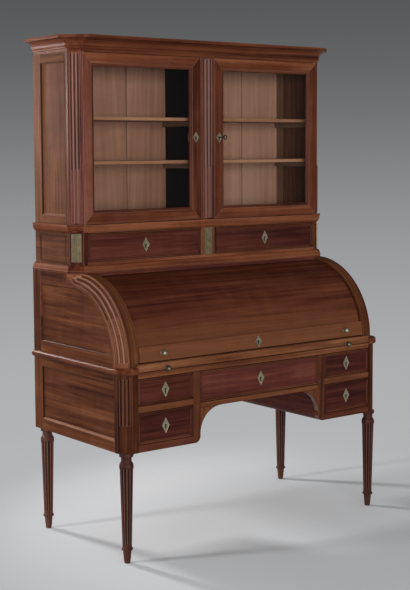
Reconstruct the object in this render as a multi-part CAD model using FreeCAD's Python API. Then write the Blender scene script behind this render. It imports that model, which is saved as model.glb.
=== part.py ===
import FreeCAD, Part
import math
import os

# Cylinder desk with a glazed bookcase top, in millimetres.
# X runs to the right, the front faces -Y, Z is up and the feet stand on Z = 0.

# Whole case
case_width = 1376.0
case_depth = 664.0
case_cant = 43.0
frame_thickness = 24.0
panel_thickness = 12.0
panel_recess = 6.0
back_thickness = 12.0
wall_thickness = 16.0
bead_width = 9.0
bead_height = 5.0
front_gap = 1.0
running_gap = 0.4
pin_gap = 0.3
cut_overrun = 5.0

# Turned legs
leg_height = 434.0
leg_inset = 36.0
collar_radius = 28.0
collar_height = 15.0
neck_radius = 21.0
neck_height = 20.0
shoulder_radius = 28.0
shoulder_height = 26.0
shaft_top_radius = 26.0
ankle_radius = 18.5
ankle_height = 68.0
ring_radius = 22.5
ring_height = 9.0
foot_radius = 16.5
foot_height = 52.0
foot_tip_radius = 11.0
leg_flute_count = 12
leg_flute_steps = 3
leg_flute_width_share = 0.74
leg_flute_depth_share = 0.13
leg_bulge_share = 0.5

# Base case
front_post_width = 69.0
rear_post_width = 45.0
post_depth = 62.0
kneehole_width = 636.0
stile_width = 35.0
base_rail_height = 29.0
lower_drawer_height = 123.0
middle_rail_height = 27.0
upper_drawer_height = 104.0
slide_rail_height = 23.0
slide_band_height = 32.0
centre_drawer_height = 125.0
apron_height = 21.0
arch_radius = 105.0
knee_foot_radius = 26.0
side_rail_low_height = 46.0
side_rail_high_height = 34.0
dust_board_thickness = 12.0
guide_height = 22.0
belt_height = 26.0
belt_projection = 12.0
belt_drop = 13.0

# Flutes on the canted corners
flute_count = 3
flute_radius = 5.0
flute_sides = 8
flute_end_shares = ((0.0, 1.0), (0.6, 0.8), (1.0, 0.3))
base_flute_low = 112.0
base_flute_high = 284.0
roll_flute_start_angle = 7.0
roll_flute_end_angle = 84.0
upper_flute_margin = 12.0

# Roll section
roll_set_back = 18.0
axis_rise = 4.0
curved_rail_width = 88.0
curved_rail_depth = 55.0
curved_rail_pieces = 3
roll_rail_height = 42.0
roll_stile_width = 58.0
shell_recess = 15.0
shell_thickness = 16.0
shell_side_gap = 3.0
stave_count = 9
shell_rail_angle = 10.5
shell_knob_angle = 7.0
shell_knob_inset = 109.0
arm_thickness = 6.0
arm_width = 24.0
arm_side_gap = 2.0
arm_staves = (1, 7)
hub_radius = 16.0
pivot_radius = 6.0
pivot_block_depth = 44.0
pivot_block_height = 48.0
deck_overhang = 22.0

# Writing slide
slide_board_thickness = 28.0
slide_rear_room = 164.4
slide_side_clearance = 8.0
leather_thickness = 3.0
leather_margin = 70.0
leather_lap = 14.5
bearer_width = 40.0
slide_knob_inset = 134.5
slide_knob_drop = 25.0

# Pigeonholes behind the cylinder
roll_floor_thickness = 12.0
roll_floor_reach = 77.0
nest_side_gap = 13.0
nest_clearance = 26.0
nest_back_share = 0.546
nest_board = 9.0
nest_set_back = 20.0
nest_drawer_height = 62.0
nest_drawer_width = 330.0
nest_column_shares = (-0.66, -0.33, 0.33, 0.66)
nest_drawer_board = 7.0
nest_knob_radius = 8.0
nest_knob_reach = 16.0

# Drawer tier and bookcase
bookcase_inset = 15.0
bookcase_depth = 309.0
bookcase_cant = 41.0
upper_post_width = 43.0
tier_post_width = 62.0
upper_post_depth = 52.0
centre_post_width = 72.0
board_thickness = 12.0
tier_rail_low_height = 30.0
tier_drawer_height = 115.0
tier_rail_high_height = 22.0
bookcase_height = 690.0
upper_stile_width = 56.0
upper_front_stile_width = 14.0
upper_rail_height = 34.0
back_plank_count = 6
shelf_thickness = 14.0
shelf_set_back = 54.0
shelf_height_shares = (0.348, 0.61)
cleat_width = 16.0
cleat_height = 22.0
plaque_width = 42.0
plaque_height = 114.0
plaque_thickness = 3.0
plaque_groove_count = 5
plaque_groove_radius = 2.2
plaque_groove_steps = 3

# Applied mouldings round the upper case
tier_base_height = 30.0
tier_base_projection = 16.0
waist_height = 32.0
waist_projection = 14.0
moulding_fillet_share = 0.3
cornice_height = 51.0
cornice_projection = 58.0
cornice_seat = 26.0
cornice_bead = 11.0
cornice_fillet = 12.0
cornice_side_share = 0.81
cornice_cant_share = 0.72
round_steps = 6
turn_sides = 20

# Glazed doors
door_thickness = 24.0
door_frame_width = 54.0
door_rebate = 10.0
door_bevel_width = 12.0
door_bevel_depth = 9.0
glass_thickness = 3.0
glass_setting = 13.0
door_gap = 2.0
hinge_gap = 3.0
hinge_inset = 8.0
hinge_depth = 7.0
hinge_pin_radius = 3.0
hinge_pin_reach = 8.0

# Drawers
drawer_front_thickness = 22.0
drawer_frame_width = 13.0
drawer_frame_proud = 5.0
drawer_bevel_share = 0.55
drawer_side_thickness = 10.0
drawer_bottom_thickness = 6.0
drawer_headroom = 14.0
base_drawer_rear_room = 110.0
tier_drawer_rear_room = 45.0

# Brass and iron fittings
lozenge_width = 36.0
lozenge_height = 64.0
lozenge_thickness = 2.0
keyhole_radius = 3.2
keyhole_slot_width = 3.0
keyhole_drop = 9.0
lock_width = 52.0
lock_height = 36.0
lock_thickness = 12.0
shell_lozenge_height = 52.0
door_lozenge_height = 46.0
door_lozenge_width = 33.0
door_lock_width = 30.0
door_lock_inset = 25.0
door_lock_height_share = 0.509
knob_radius = 12.0
knob_neck_radius = 5.0
knob_reach = 27.0
knob_steps = 4
knob_tip_share = 0.3
key_radius = 2.4
key_reach = 34.0
key_bow_radius = 9.0
key_wire_radius = 2.0
key_bow_steps = 12
key_bit_drop = 7.0
key_bit_width = 5.0
key_chamber_reach = 9.5

# Heights and planes worked out from the sizes above
half_width = case_width / 2
total_depth = case_depth + knob_reach
back_y = total_depth / 2
front_y = back_y - case_depth
back_face = back_y - back_thickness
frame_back = front_y + frame_thickness
side_inner = half_width - frame_thickness
post_inner = half_width - front_post_width
post_back = front_y + post_depth
rear_post_front = back_y - post_depth
knee_half = kneehole_width / 2
knee_wall = knee_half + wall_thickness
stile_outer = knee_half + stile_width
base_rail_top = leg_height + base_rail_height
lower_low = base_rail_top + front_gap
lower_high = lower_low + lower_drawer_height
middle_low = lower_high + front_gap
middle_high = middle_low + middle_rail_height
upper_low = middle_high + front_gap
upper_high = upper_low + upper_drawer_height
slide_rail_low = upper_high + front_gap
slide_rail_high = slide_rail_low + slide_rail_height
slide_low = slide_rail_high + front_gap
slide_top = slide_low + slide_band_height
slide_band_thickness = roll_set_back - running_gap
centre_low = upper_high - centre_drawer_height
apron_high = centre_low - front_gap
arch_crown = apron_high - apron_height
belt_top = slide_top - belt_drop
belt_low = belt_top - belt_height
book_front = back_y - bookcase_depth
axis_y = book_front
axis_z = belt_top + axis_rise
roll_radius = axis_y - front_y - roll_set_back
roll_top = axis_z + roll_radius
rail_inner = half_width - curved_rail_width
shell_radius = roll_radius - shell_recess
shell_inner = shell_radius - shell_thickness
shell_half = rail_inner - shell_side_gap
deck_low = axis_z + shell_radius + front_gap
tier_floor_top = roll_top + board_thickness
tier_rail_low = tier_floor_top + tier_rail_low_height
tier_drawer_low = tier_rail_low + front_gap
tier_drawer_high = tier_drawer_low + tier_drawer_height
tier_rail_high = tier_drawer_high + front_gap
book_floor_low = tier_rail_high + tier_rail_high_height
book_floor_top = book_floor_low + board_thickness
book_roof_low = book_floor_top + bookcase_height
book_roof_top = book_roof_low + board_thickness
book_half = half_width - bookcase_inset
book_inner = book_half - frame_thickness
book_post_inner = book_half - upper_post_width
tier_post_inner = book_half - tier_post_width
book_post_back = book_front + upper_post_depth
book_frame_back = book_front + frame_thickness
centre_half = centre_post_width / 2
partition_half = wall_thickness / 2


def point(x, y, z):
    return FreeCAD.Vector(x, y, z)


def box(x_low, x_high, y_low, y_high, z_low, z_high):
    """A straight board between two corners."""
    return Part.makeBox(x_high - x_low, y_high - y_low, z_high - z_low, point(x_low, y_low, z_low))


def mirrored(shape):
    return shape.mirror(point(0, 0, 0), point(1, 0, 0))


def pair(shape):
    """A right-hand piece and its left-hand twin."""
    return [shape, mirrored(shape)]


def outline_face(points):
    return Part.Face(Part.makePolygon(points + points[:1]))


def upright(plan, z_low, z_high):
    """A plan outline of (x, y) points raised between two heights."""
    face = outline_face([point(x, y, z_low) for x, y in plan])
    return face.extrude(point(0, 0, z_high - z_low))


def round_points(centre_a, centre_b, radius, start, turn, steps=round_steps):
    """Points on an arc, from a start angle through a turn, both in degrees."""
    points = []
    for step in range(steps + 1):
        angle = math.radians(start + turn * step / steps)
        points.append((centre_a + radius * math.cos(angle), centre_b + radius * math.sin(angle)))
    return points


def flat_sided(outlines):
    """The flat-sided solid through a row of matching outlines."""
    faces = [outline_face(outlines[0]), outline_face(outlines[-1])]
    for first, last in zip(outlines, outlines[1:]):
        for index in range(len(first)):
            follow = (index + 1) % len(first)
            faces.append(outline_face([first[index], first[follow], last[follow], last[index]]))
    return Part.makeSolid(Part.makeShell(faces))


def mitred_lengths(path, profile, place, closed=False, spreads=None):
    """Lengths of one profile along a path, mitred where the path turns.

    A profile point is (outset to the right of the path, rise), and spreads gives the share of the
    outset that each length has. The function place turns a path point and a rise into a point of
    the object.
    """
    count = len(path)
    spans = count if closed else count - 1
    spreads = spreads or [1] * spans
    normals = []
    for span in range(spans):
        a_start, b_start = path[span]
        a_end, b_end = path[(span + 1) % count]
        run = math.hypot(a_end - a_start, b_end - b_start)
        normals.append(((b_end - b_start) / run, (a_start - a_end) / run))

    def section(corner):
        first = (corner - 1) % spans if closed else max(corner - 1, 0)
        second = corner % spans if closed else min(corner, spans - 1)
        before, after = normals[first], normals[second]
        mitre_a, mitre_b = before[0] * spreads[first], before[1] * spreads[first]
        if first != second:
            turn = before[0] * after[1] - before[1] * after[0]
            mitre_a = (spreads[first] * after[1] - spreads[second] * before[1]) / turn
            mitre_b = (spreads[second] * before[0] - spreads[first] * after[0]) / turn
        a, b = path[corner % count]
        return [place(a + mitre_a * out, b + mitre_b * out, rise) for out, rise in profile]

    return [flat_sided([section(span), section(span + 1)]) for span in range(spans)]


def rectangle(a_low, a_high, b_low, b_high):
    """A closed path whose right-hand side is inside."""
    return [(a_low, b_low), (a_low, b_high), (a_high, b_high), (a_high, b_low)]


def turned(rings, origin, axis):
    """A turned piece of narrow flat sides through (radius, reach) rings, on origin along an axis."""
    outlines = []
    for radius, reach in rings:
        corner = radius / math.cos(math.pi / turn_sides)
        turns = [2 * math.pi * step / turn_sides for step in range(turn_sides)]
        outlines.append([point(corner * math.cos(turn), corner * math.sin(turn), reach) for turn in turns])
    solid = flat_sided(outlines)
    solid.Placement = FreeCAD.Placement(origin, FreeCAD.Rotation(point(0, 0, 1), axis))
    return solid


def knob(origin, axis, radius, reach):
    """A ball knob on a short neck, turned in one piece."""
    neck_angle = math.degrees(math.acos(knob_neck_radius / radius))
    ball = round_points(0, reach - radius, radius, -neck_angle, 90 + neck_angle, knob_steps)
    return turned([(knob_neck_radius, 0)] + ball[:-1] + [(radius * knob_tip_share, reach)], origin, axis)


def flute_ring(centre, side, out, radius):
    """The flat-sided ring of a flute's cutter, in the plane of two directions."""
    points = []
    for step in range(flute_sides):
        angle = 2 * math.pi * step / flute_sides
        points.append(centre + side * (radius * math.cos(angle)) + out * (radius * math.sin(angle)))
    return points


def flute_end(centre, side, out, along):
    """The rings that draw a flute's cutter in towards its end."""
    rings = []
    for rise_share, radius_share in flute_end_shares:
        middle = centre + along * (flute_radius * rise_share)
        rings.append(flute_ring(middle, side, out, flute_radius * radius_share))
    return rings


def fluted(post, start, end, z_low, z_high):
    """A post with flutes in the face between two plan points."""
    side = point(end[0] - start[0], end[1] - start[1], 0).normalize()
    up = point(0, 0, 1)
    out = side.cross(up)
    for index in range(flute_count):
        share = (index + 1) / (flute_count + 1)
        x = start[0] + (end[0] - start[0]) * share
        y = start[1] + (end[1] - start[1]) * share
        low_rings = flute_end(point(x, y, z_low), side, out, -up)
        post = post.cut(flat_sided(low_rings[::-1] + flute_end(point(x, y, z_high), side, out, up)))
    return post


def save(name, solids):
    Part.makeCompound(solids).exportStep(os.path.join("parts", name + ".step"))


os.makedirs("parts", exist_ok=True)

# Legs: one turned and fluted leg, set under each corner post
def leg_ring(radius, height):
    """The fluted outline of the shaft at one height."""
    points = []
    for index in range(leg_flute_count):
        for step in range(leg_flute_steps + 1):
            turn = 2 * math.pi * (index + leg_flute_width_share * step / leg_flute_steps) / leg_flute_count
            hollow = leg_flute_depth_share * math.sin(math.pi * step / leg_flute_steps)
            reach = radius * (1 - hollow)
            points.append(point(reach * math.cos(turn), reach * math.sin(turn), height))
    return points


def leg():
    """A turned foot, a fluted tapering shaft, and a turned shoulder, neck and collar."""
    neck_top = leg_height - collar_height
    shoulder_top = neck_top - neck_height
    shaft_top = shoulder_top - shoulder_height
    ring_middle = foot_height + ring_height * leg_bulge_share
    foot = [(foot_tip_radius, 0), (foot_radius, foot_height), (ring_radius, ring_middle)]
    foot.append((ankle_radius, ankle_height))
    head = [(shaft_top_radius, shaft_top)]
    head += [(shoulder_radius, shaft_top + shoulder_height * leg_bulge_share), (neck_radius, shoulder_top)]
    head += [(neck_radius, neck_top), (collar_radius, neck_top), (collar_radius, leg_height)]
    shaft = flat_sided([leg_ring(ankle_radius, ankle_height), leg_ring(shaft_top_radius, shaft_top)])
    ends = [turned(rings, point(0, 0, 0), point(0, 0, 1)) for rings in (foot, head)]
    return shaft.fuse(ends)


one_leg = leg()
leg_x = half_width - leg_inset
legs = []
for x in (-leg_x, leg_x):
    for y in (front_y + leg_inset, back_y - leg_inset):
        placed = one_leg.copy()
        placed.translate(point(x, y, 0))
        legs.append(placed)
save("legs", legs)


# Base corner posts: canted and fluted at the front, square at the back
cant_side = (half_width, front_y + case_cant)
cant_front = (half_width - case_cant, front_y)
post_plan = [(post_inner, front_y), cant_front, cant_side, (half_width, post_back), (post_inner, post_back)]
front_post = fluted(upright(post_plan, leg_height, belt_low), cant_front, cant_side,
                    leg_height + base_flute_low, leg_height + base_flute_high)
rear_post = box(half_width - rear_post_width, half_width, rear_post_front, back_y, leg_height, belt_low)
save("base_corner_posts", pair(front_post) + pair(rear_post))


# Base sides: rails between the posts and a beaded panel between the rails
def side_place(face_x):
    return lambda a, b, rise: point(face_x + rise, a, b)


def beaded_panel(outer_x, y_low, y_high, z_low, z_high):
    """A recessed side panel with a mitred bead round its opening."""
    face = outer_x - panel_recess
    board = box(face - panel_thickness, face, y_low, y_high, z_low, z_high)
    bead = [(0, 0), (bead_width, 0), (0, bead_height)]
    return [board] + mitred_lengths(rectangle(y_low, y_high, z_low, z_high), bead, side_place(face), True)


def both_sides(solids):
    return [twin for solid in solids for twin in pair(solid)]


side_panel_low = leg_height + side_rail_low_height
side_panel_high = belt_low - side_rail_high_height
side_rails = [
    box(side_inner, half_width, post_back, rear_post_front, leg_height, side_panel_low),
    box(side_inner, half_width, post_back, rear_post_front, side_panel_high, belt_low),
]
save("base_side_rails", both_sides(side_rails))
side_panel = beaded_panel(half_width, post_back, rear_post_front, side_panel_low, side_panel_high)
save("base_side_panels", both_sides(side_panel))


# Base back: a board behind each pedestal, rounded at its foot, and one above the kneehole
foot_block = box(knee_half, knee_half + knee_foot_radius, front_y, back_y, leg_height,
                 leg_height + knee_foot_radius)
foot_centre = point(knee_half + knee_foot_radius, front_y, leg_height + knee_foot_radius)
foot_waste = foot_block.cut(Part.makeCylinder(knee_foot_radius, case_depth, foot_centre, point(0, 1, 0)))
rear_post_inner = half_width - rear_post_width
dust_low = apron_high - dust_board_thickness
pedestal_back = box(knee_half, rear_post_inner, back_face, back_y, leg_height, slide_rail_high)
knee_back = box(-knee_half, knee_half, back_face, back_y, dust_low, slide_rail_high)
save("base_back", pair(pedestal_back.cut(foot_waste)) + [knee_back])


# Base front frame: rails, stiles, the apron and its quarter-round brackets
bracket_start = knee_half - arch_radius
bracket_low = arch_crown - arch_radius
half_root = math.sqrt(0.5)
arch_middle = point(bracket_start + arch_radius * half_root, front_y, bracket_low + arch_radius * half_root)
arch_crown_end = point(bracket_start, front_y, arch_crown)
arch_foot_end = point(knee_half, front_y, bracket_low)
bracket_corner = point(knee_half, front_y, arch_crown)
bracket_wire = Part.Wire([
    Part.Arc(arch_crown_end, arch_middle, arch_foot_end).toShape(),
    Part.makeLine(arch_foot_end, bracket_corner),
    Part.makeLine(bracket_corner, arch_crown_end),
])
bracket = Part.Face(bracket_wire).extrude(point(0, frame_thickness, 0))
front_frame = [
    box(-post_inner, post_inner, front_y, frame_back, slide_rail_low, slide_rail_high),
    box(-knee_half, knee_half, front_y, frame_back, arch_crown, apron_high),
]
front_pairs = [
    box(knee_half, stile_outer, front_y, frame_back, leg_height, slide_rail_low).cut(foot_waste),
    box(stile_outer, post_inner, front_y, frame_back, leg_height, base_rail_top),
    box(stile_outer, post_inner, front_y, frame_back, middle_low, middle_high),
    bracket,
]
save("base_front_frame", front_frame + both_sides(front_pairs))


# Kneehole walls and the boards that the drawers run on
knee_side = box(knee_half, knee_wall, frame_back, back_face, leg_height, slide_rail_high)
save("kneehole_walls", pair(knee_side.cut(foot_waste)))
shelf_low = middle_high - dust_board_thickness
dust_boards = []
for low, high in ((leg_height, base_rail_top), (shelf_low, middle_high)):
    dust_boards += pair(box(knee_wall, post_inner, frame_back, back_face, low, high).cut(foot_waste))
    dust_boards += pair(box(post_inner, side_inner, post_back, rear_post_front, low, high))
dust_boards.append(box(-knee_half, knee_half, frame_back, back_face, dust_low, apron_high))
save("base_dust_boards", dust_boards)


# Guides beside the drawers, the slide's bearers and the blocks under the roll floor
drawer_inner = stile_outer + front_gap
drawer_outer = post_inner - front_gap
arm_plane = shell_half - arm_side_gap
slide_half = arm_plane - arm_thickness - slide_side_clearance
slide_back = back_face - slide_rear_room
guides = []
guide_inner = drawer_inner - running_gap
guide_outer = drawer_outer + running_gap
for low in (base_rail_top, middle_high):
    high = low + guide_height
    guides += pair(box(knee_wall, guide_inner, frame_back, back_face, low, high))
    guides += pair(box(guide_outer, side_inner, post_back, rear_post_front, low, high))
bearer_inner = slide_half - bearer_width
guides += pair(box(bearer_inner, slide_half, frame_back, back_face, slide_rail_low, slide_rail_high))
block_front = slide_back + running_gap
guides += pair(box(bearer_inner, slide_half, block_front, back_face, slide_rail_high, slide_top))
guides += pair(box(knee_half, knee_wall, block_front, back_face, slide_rail_high, slide_top))
tier_guide_top = tier_rail_low + guide_height
guides += pair(box(partition_half, centre_half, book_frame_back, back_face, tier_rail_low, tier_guide_top))
guides += pair(box(tier_post_inner, book_inner, book_post_back, back_face, tier_rail_low, tier_guide_top))
save("drawer_guides", guides)


# Belt: a rounded frame member on the base sides, mitred round the canted corners
def level(height):
    return lambda a, b, rise: point(a, b, height + rise)


belt_round = round_points(belt_projection - belt_height / 2, belt_height / 2, belt_height / 2, -90, 180)
belt_profile = [(-frame_thickness, 0)] + belt_round + [(-frame_thickness, belt_height)]
belt_path = [(half_width, back_y), cant_side, cant_front, (post_inner, front_y)]
belt = mitred_lengths(belt_path[::-1], belt_profile, level(belt_low))
save("belt_moulding", both_sides(belt))


# Roll sides: stile and rails, a recessed panel, and the curved fluted rail
def on_arc(radius, angle):
    """The (y, z) point at a radius and an angle above the front horizontal."""
    turn = math.radians(angle)
    return axis_y - radius * math.cos(turn), axis_z + radius * math.sin(turn)


def arc_point(x, radius, angle):
    y, z = on_arc(radius, angle)
    return point(x, y, z)


def arc_band(x_low, x_high, inner, outer, start, end, flat_inside=False):
    """A curved piece between two radii and two angles, run along X."""
    middle = (start + end) / 2
    near = [arc_point(x_low, inner, angle) for angle in (start, middle, end)]
    far = [arc_point(x_low, outer, angle) for angle in (start, middle, end)]
    outside = Part.Arc(far[0], far[1], far[2]).toShape()
    inside = Part.Arc(near[2], near[1], near[0]).toShape()
    if flat_inside:
        inside = Part.makeLine(near[2], near[0])
    edges = [outside, Part.makeLine(far[2], near[2]), inside, Part.makeLine(near[0], far[0])]
    return Part.Face(Part.Wire(edges)).extrude(point(x_high - x_low, 0, 0))


rail_foot = belt_top
roll_stile_front = back_y - roll_stile_width
curve_inner = roll_radius - curved_rail_depth
curve_back = book_front + bookcase_cant
roll_rail_top = rail_foot + roll_rail_height
roll_head_low = roll_top - curved_rail_depth
roll_frames = [
    box(side_inner, half_width, roll_stile_front, back_y, rail_foot, roll_top),
    box(side_inner, half_width, curve_back, roll_stile_front, roll_head_low, roll_top),
]
foot_rail = box(side_inner, half_width, axis_y - curve_inner, roll_stile_front, rail_foot, roll_rail_top)
axis_line = point(0, axis_y, axis_z)
curve_keep = Part.makeCylinder(curve_inner, case_width, point(0, axis_y, axis_z), point(1, 0, 0))
below_axis = box(0, case_width, axis_y - curve_inner, back_y, rail_foot, axis_z)
behind_axis = box(0, case_width, axis_y, back_y, rail_foot, roll_top)
foot_rail = foot_rail.common(curve_keep.fuse([below_axis, behind_axis]))
save("roll_side_frames", both_sides(roll_frames + [foot_rail]))

panel_face = half_width - panel_recess
panel_box = box(panel_face - panel_thickness, panel_face, axis_y - curve_inner, roll_stile_front,
                roll_rail_top, roll_head_low)
roll_panel = panel_box.common(curve_keep.fuse(behind_axis))
save("roll_side_panels", pair(roll_panel))


def cant_cutter():
    """The wedge that takes off the outer edge of the curved rail."""
    outer = roll_radius + cut_overrun
    reach = case_cant + cut_overrun
    corners = [
        point(half_width - case_cant - cut_overrun, axis_y - roll_radius - cut_overrun, axis_z),
        point(half_width + cut_overrun, axis_y - outer, axis_z),
        point(half_width + cut_overrun, axis_y - roll_radius + reach, axis_z),
    ]
    return outline_face(corners).revolve(axis_line, point(1, 0, 0), -360)


def curved_flute(share):
    """The cutter of one flute that follows the curved rail."""
    x = half_width - case_cant + case_cant * share
    radius = roll_radius - case_cant * share
    ends = []
    for angle, way in ((roll_flute_start_angle, -1), (roll_flute_end_angle, 1)):
        turn = math.radians(angle)
        outward = point(0, -math.cos(turn), math.sin(turn))
        along = point(0, math.sin(turn), math.cos(turn)) * way
        side = (point(1, 0, 0) - outward).normalize()
        out = (point(1, 0, 0) + outward).normalize()
        ends.append(flute_end(arc_point(x, radius, angle), side, out, along))
    sweep = roll_flute_end_angle - roll_flute_start_angle
    cutter = outline_face(ends[0][0]).revolve(axis_line, point(1, 0, 0), -sweep)
    return cutter.fuse([flat_sided(rings) for rings in ends])


rail_cutters = [cant_cutter()]
for index in range(flute_count):
    rail_cutters.append(curved_flute((index + 1) / (flute_count + 1)))
rail_pieces = []
for index in range(curved_rail_pieces):
    start = 90 * index / curved_rail_pieces
    end = 90 * (index + 1) / curved_rail_pieces
    rail_pieces.append(arc_band(rail_inner, half_width, curve_inner, roll_radius, start, end))
heel = box(rail_inner, half_width, axis_y - roll_radius, axis_y - curve_inner, rail_foot, axis_z)
heel_cant = upright([(half_width - case_cant, axis_y - roll_radius), (half_width, axis_y - roll_radius),
                     (half_width, axis_y - roll_radius + case_cant)], rail_foot, axis_z)
rail_pieces[0] = rail_pieces[0].fuse(heel.cut(heel_cant))
for index in range(curved_rail_pieces):
    for cutter in rail_cutters:
        rail_pieces[index] = rail_pieces[index].cut(cutter)
rail_head = box(rail_inner, half_width, axis_y, curve_back, roll_head_low, roll_top)
stop_corners = [point(half_width, axis_y, roll_top - case_cant), point(half_width, axis_y, roll_top),
                point(half_width - case_cant, axis_y, roll_top)]
stop_wire = Part.makePolygon(stop_corners + stop_corners[:1])
cant_stop = Part.makeLoft([stop_wire, Part.Vertex(point(half_width, curve_back, roll_top))], True, True)
save("curved_fluted_rails", both_sides(rail_pieces + [rail_head.cut(cant_stop)]))


# Roll back, the deck over the cylinder and the floor behind the writing slide
save("roll_back", [box(-side_inner, side_inner, back_face, back_y, slide_rail_high, roll_top)])
floor_top = slide_top + roll_floor_thickness
floor_front = axis_y - roll_floor_reach
deck = box(-rail_inner, rail_inner, book_front - deck_overhang, back_face, deck_low, roll_top)
deck_wing = box(rail_inner, side_inner, curve_back, back_face, deck_low, roll_top)
roll_floor = box(-slide_half, slide_half, floor_front, back_face, slide_top, floor_top)
save("roll_boards", [deck, roll_floor] + pair(deck_wing))


# Pivots: a bearing block on each side wall with an iron pin for the cylinder's arm
pin_start = arm_plane - arm_thickness - arm_side_gap
block_inner = shell_half + arm_side_gap
block_low = axis_z - pivot_block_height / 2
pivot_block = box(block_inner, side_inner, axis_y - pivot_block_depth / 2, axis_y + pivot_block_depth / 2,
                  block_low, block_low + pivot_block_height)
pivot_pin = Part.makeCylinder(pivot_radius, block_inner - pin_start, point(pin_start, axis_y, axis_z),
                              point(1, 0, 0))
save("cylinder_pivots", both_sides([pivot_block, pivot_pin]))


# Cylinder: glued staves, an applied bottom rail, iron arms and ball knobs
shell_start = math.degrees(math.asin((slide_top + front_gap - axis_z) / shell_inner))
stave_angle = (90 - shell_start) / stave_count
staves = []
for index in range(stave_count):
    start = shell_start + stave_angle * index
    end = start + stave_angle
    staves.append(arc_band(-shell_half, shell_half, shell_inner, shell_radius, start, end, True))
save("cylinder_staves", staves)
rail_end = shell_start + shell_rail_angle
shell_rail = arc_band(-shell_half, shell_half, shell_radius, roll_radius, shell_start, rail_end)
save("cylinder_bottom_rail", [shell_rail])

flat_inner = shell_inner * math.cos(math.radians(stave_angle / 2))
arm_low_x = arm_plane - arm_thickness
arm_half = arm_width / 2
arms = Part.makeCylinder(hub_radius, arm_thickness, point(arm_low_x, axis_y, axis_z), point(1, 0, 0))
for stave in arm_staves:
    arm = box(arm_low_x, arm_plane, axis_y - flat_inner, axis_y, axis_z - arm_half, axis_z + arm_half)
    arm.rotate(axis_line, point(1, 0, 0), -(shell_start + stave_angle * (stave + 0.5)))
    arms = arms.fuse(arm)
bore = Part.makeCylinder(pivot_radius + pin_gap, case_width, axis_line, point(1, 0, 0))
save("cylinder_arms", pair(arms.cut(bore)))

knob_turn = math.radians(shell_knob_angle)
knob_axis = point(0, -math.cos(knob_turn), math.sin(knob_turn))
shell_knobs = []
shell_knob_x = shell_half - shell_knob_inset
for x in (-shell_knob_x, shell_knob_x):
    seat = arc_point(x, roll_radius, shell_knob_angle)
    shell_knobs.append(knob(seat, knob_axis, knob_radius, knob_reach))
save("cylinder_knobs", shell_knobs)


# Locks: a pierced lozenge plate in front and a lock case behind
def lozenge(x, y, z, width, height):
    """A lozenge escutcheon whose back lies on the plane y, pierced with a keyhole."""
    points = [point(x, y, z - height / 2), point(x + width / 2, y, z), point(x, y, z + height / 2),
              point(x - width / 2, y, z)]
    plate = outline_face(points).extrude(point(0, -lozenge_thickness, 0))
    slot_turn = math.degrees(math.asin(keyhole_slot_width / 2 / keyhole_radius))
    eye = round_points(x, z, keyhole_radius, slot_turn - 90, 360 - 2 * slot_turn)
    slot_half = keyhole_slot_width / 2
    keyhole = eye + [(x - slot_half, z - keyhole_drop), (x + slot_half, z - keyhole_drop)]
    cutter = outline_face([point(a, y, b) for a, b in keyhole]).extrude(point(0, -lozenge_thickness, 0))
    return plate.cut(cutter)


def lock_case(x, y, z, width, height):
    return box(x - width / 2, x + width / 2, y, y + lock_thickness, z - height / 2, z + height / 2)


shell_plate = lozenge(0, axis_y - roll_radius, axis_z, lozenge_width, shell_lozenge_height)
shell_lock = lock_case(0, axis_y - flat_inner, axis_z, lock_width, lock_height)
lock_angle = shell_start + stave_angle / 2
for fitting in (shell_plate, shell_lock):
    fitting.rotate(axis_line, point(1, 0, 0), -lock_angle)
save("cylinder_lock", [shell_plate, shell_lock])


# Writing slide: a leather-lined board behind a front band with two knobs
board_low = slide_rail_high + running_gap
board_top = board_low + slide_board_thickness
band_back = front_y + slide_band_thickness
band_half = post_inner - front_gap
slide_band = box(-band_half, band_half, front_y, band_back, slide_low, slide_top)
slide_board = box(-slide_half, slide_half, band_back, slide_back, board_low, board_top)
leather_half = slide_half - leather_margin
leather_front = band_back + leather_margin / 2
leather = box(-leather_half, leather_half, leather_front, floor_front + leather_lap,
              board_top - leather_thickness, board_top)
save("writing_slide", [slide_band, slide_board.cut(leather)])
save("writing_leather", [leather])
slide_knobs = []
slide_knob_x = band_half - slide_knob_inset
for x in (-slide_knob_x, slide_knob_x):
    seat = point(x, front_y, slide_top - slide_knob_drop)
    slide_knobs.append(knob(seat, point(0, -1, 0), knob_radius, knob_reach))
save("slide_knobs", slide_knobs)


# Drawers: a framed front on a box of thin boards
def drawer_box(x_low, x_high, z_low, z_high, y_low, y_high, side, bottom):
    """The two sides, back and bottom of a drawer."""
    return [
        box(x_low, x_low + side, y_low, y_high, z_low, z_high),
        box(x_high - side, x_high, y_low, y_high, z_low, z_high),
        box(x_low + side, x_high - side, y_high - side, y_high, z_low, z_high),
        box(x_low + side, x_high - side, y_low, y_high - side, z_low, z_low + bottom),
    ]


def drawer(x_low, x_high, z_low, z_high, face, rear):
    """A drawer whose mitred front frame lies in the plane of the case front."""
    board_face = face + drawer_frame_proud
    board_back = face + drawer_front_thickness
    bevel = drawer_frame_width * drawer_bevel_share
    profile = [(0, 0), (drawer_frame_width, 0), (bevel, drawer_frame_proud), (0, drawer_frame_proud)]
    frame = mitred_lengths(rectangle(x_low, x_high, z_low, z_high), profile,
                           lambda a, b, rise: point(a, board_face - rise, b), True)
    board = box(x_low, x_high, board_face, board_back, z_low, z_high)
    inside = drawer_box(x_low, x_high, z_low - front_gap + running_gap, z_high - drawer_headroom,
                        board_back, rear, drawer_side_thickness, drawer_bottom_thickness)
    return [board] + frame + inside


def drawer_lock(x, z, face):
    plate = lozenge(x, face + drawer_frame_proud, z, lozenge_width, lozenge_height)
    return [plate, lock_case(x, face + drawer_front_thickness, z, lock_width, lock_height)]


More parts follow.
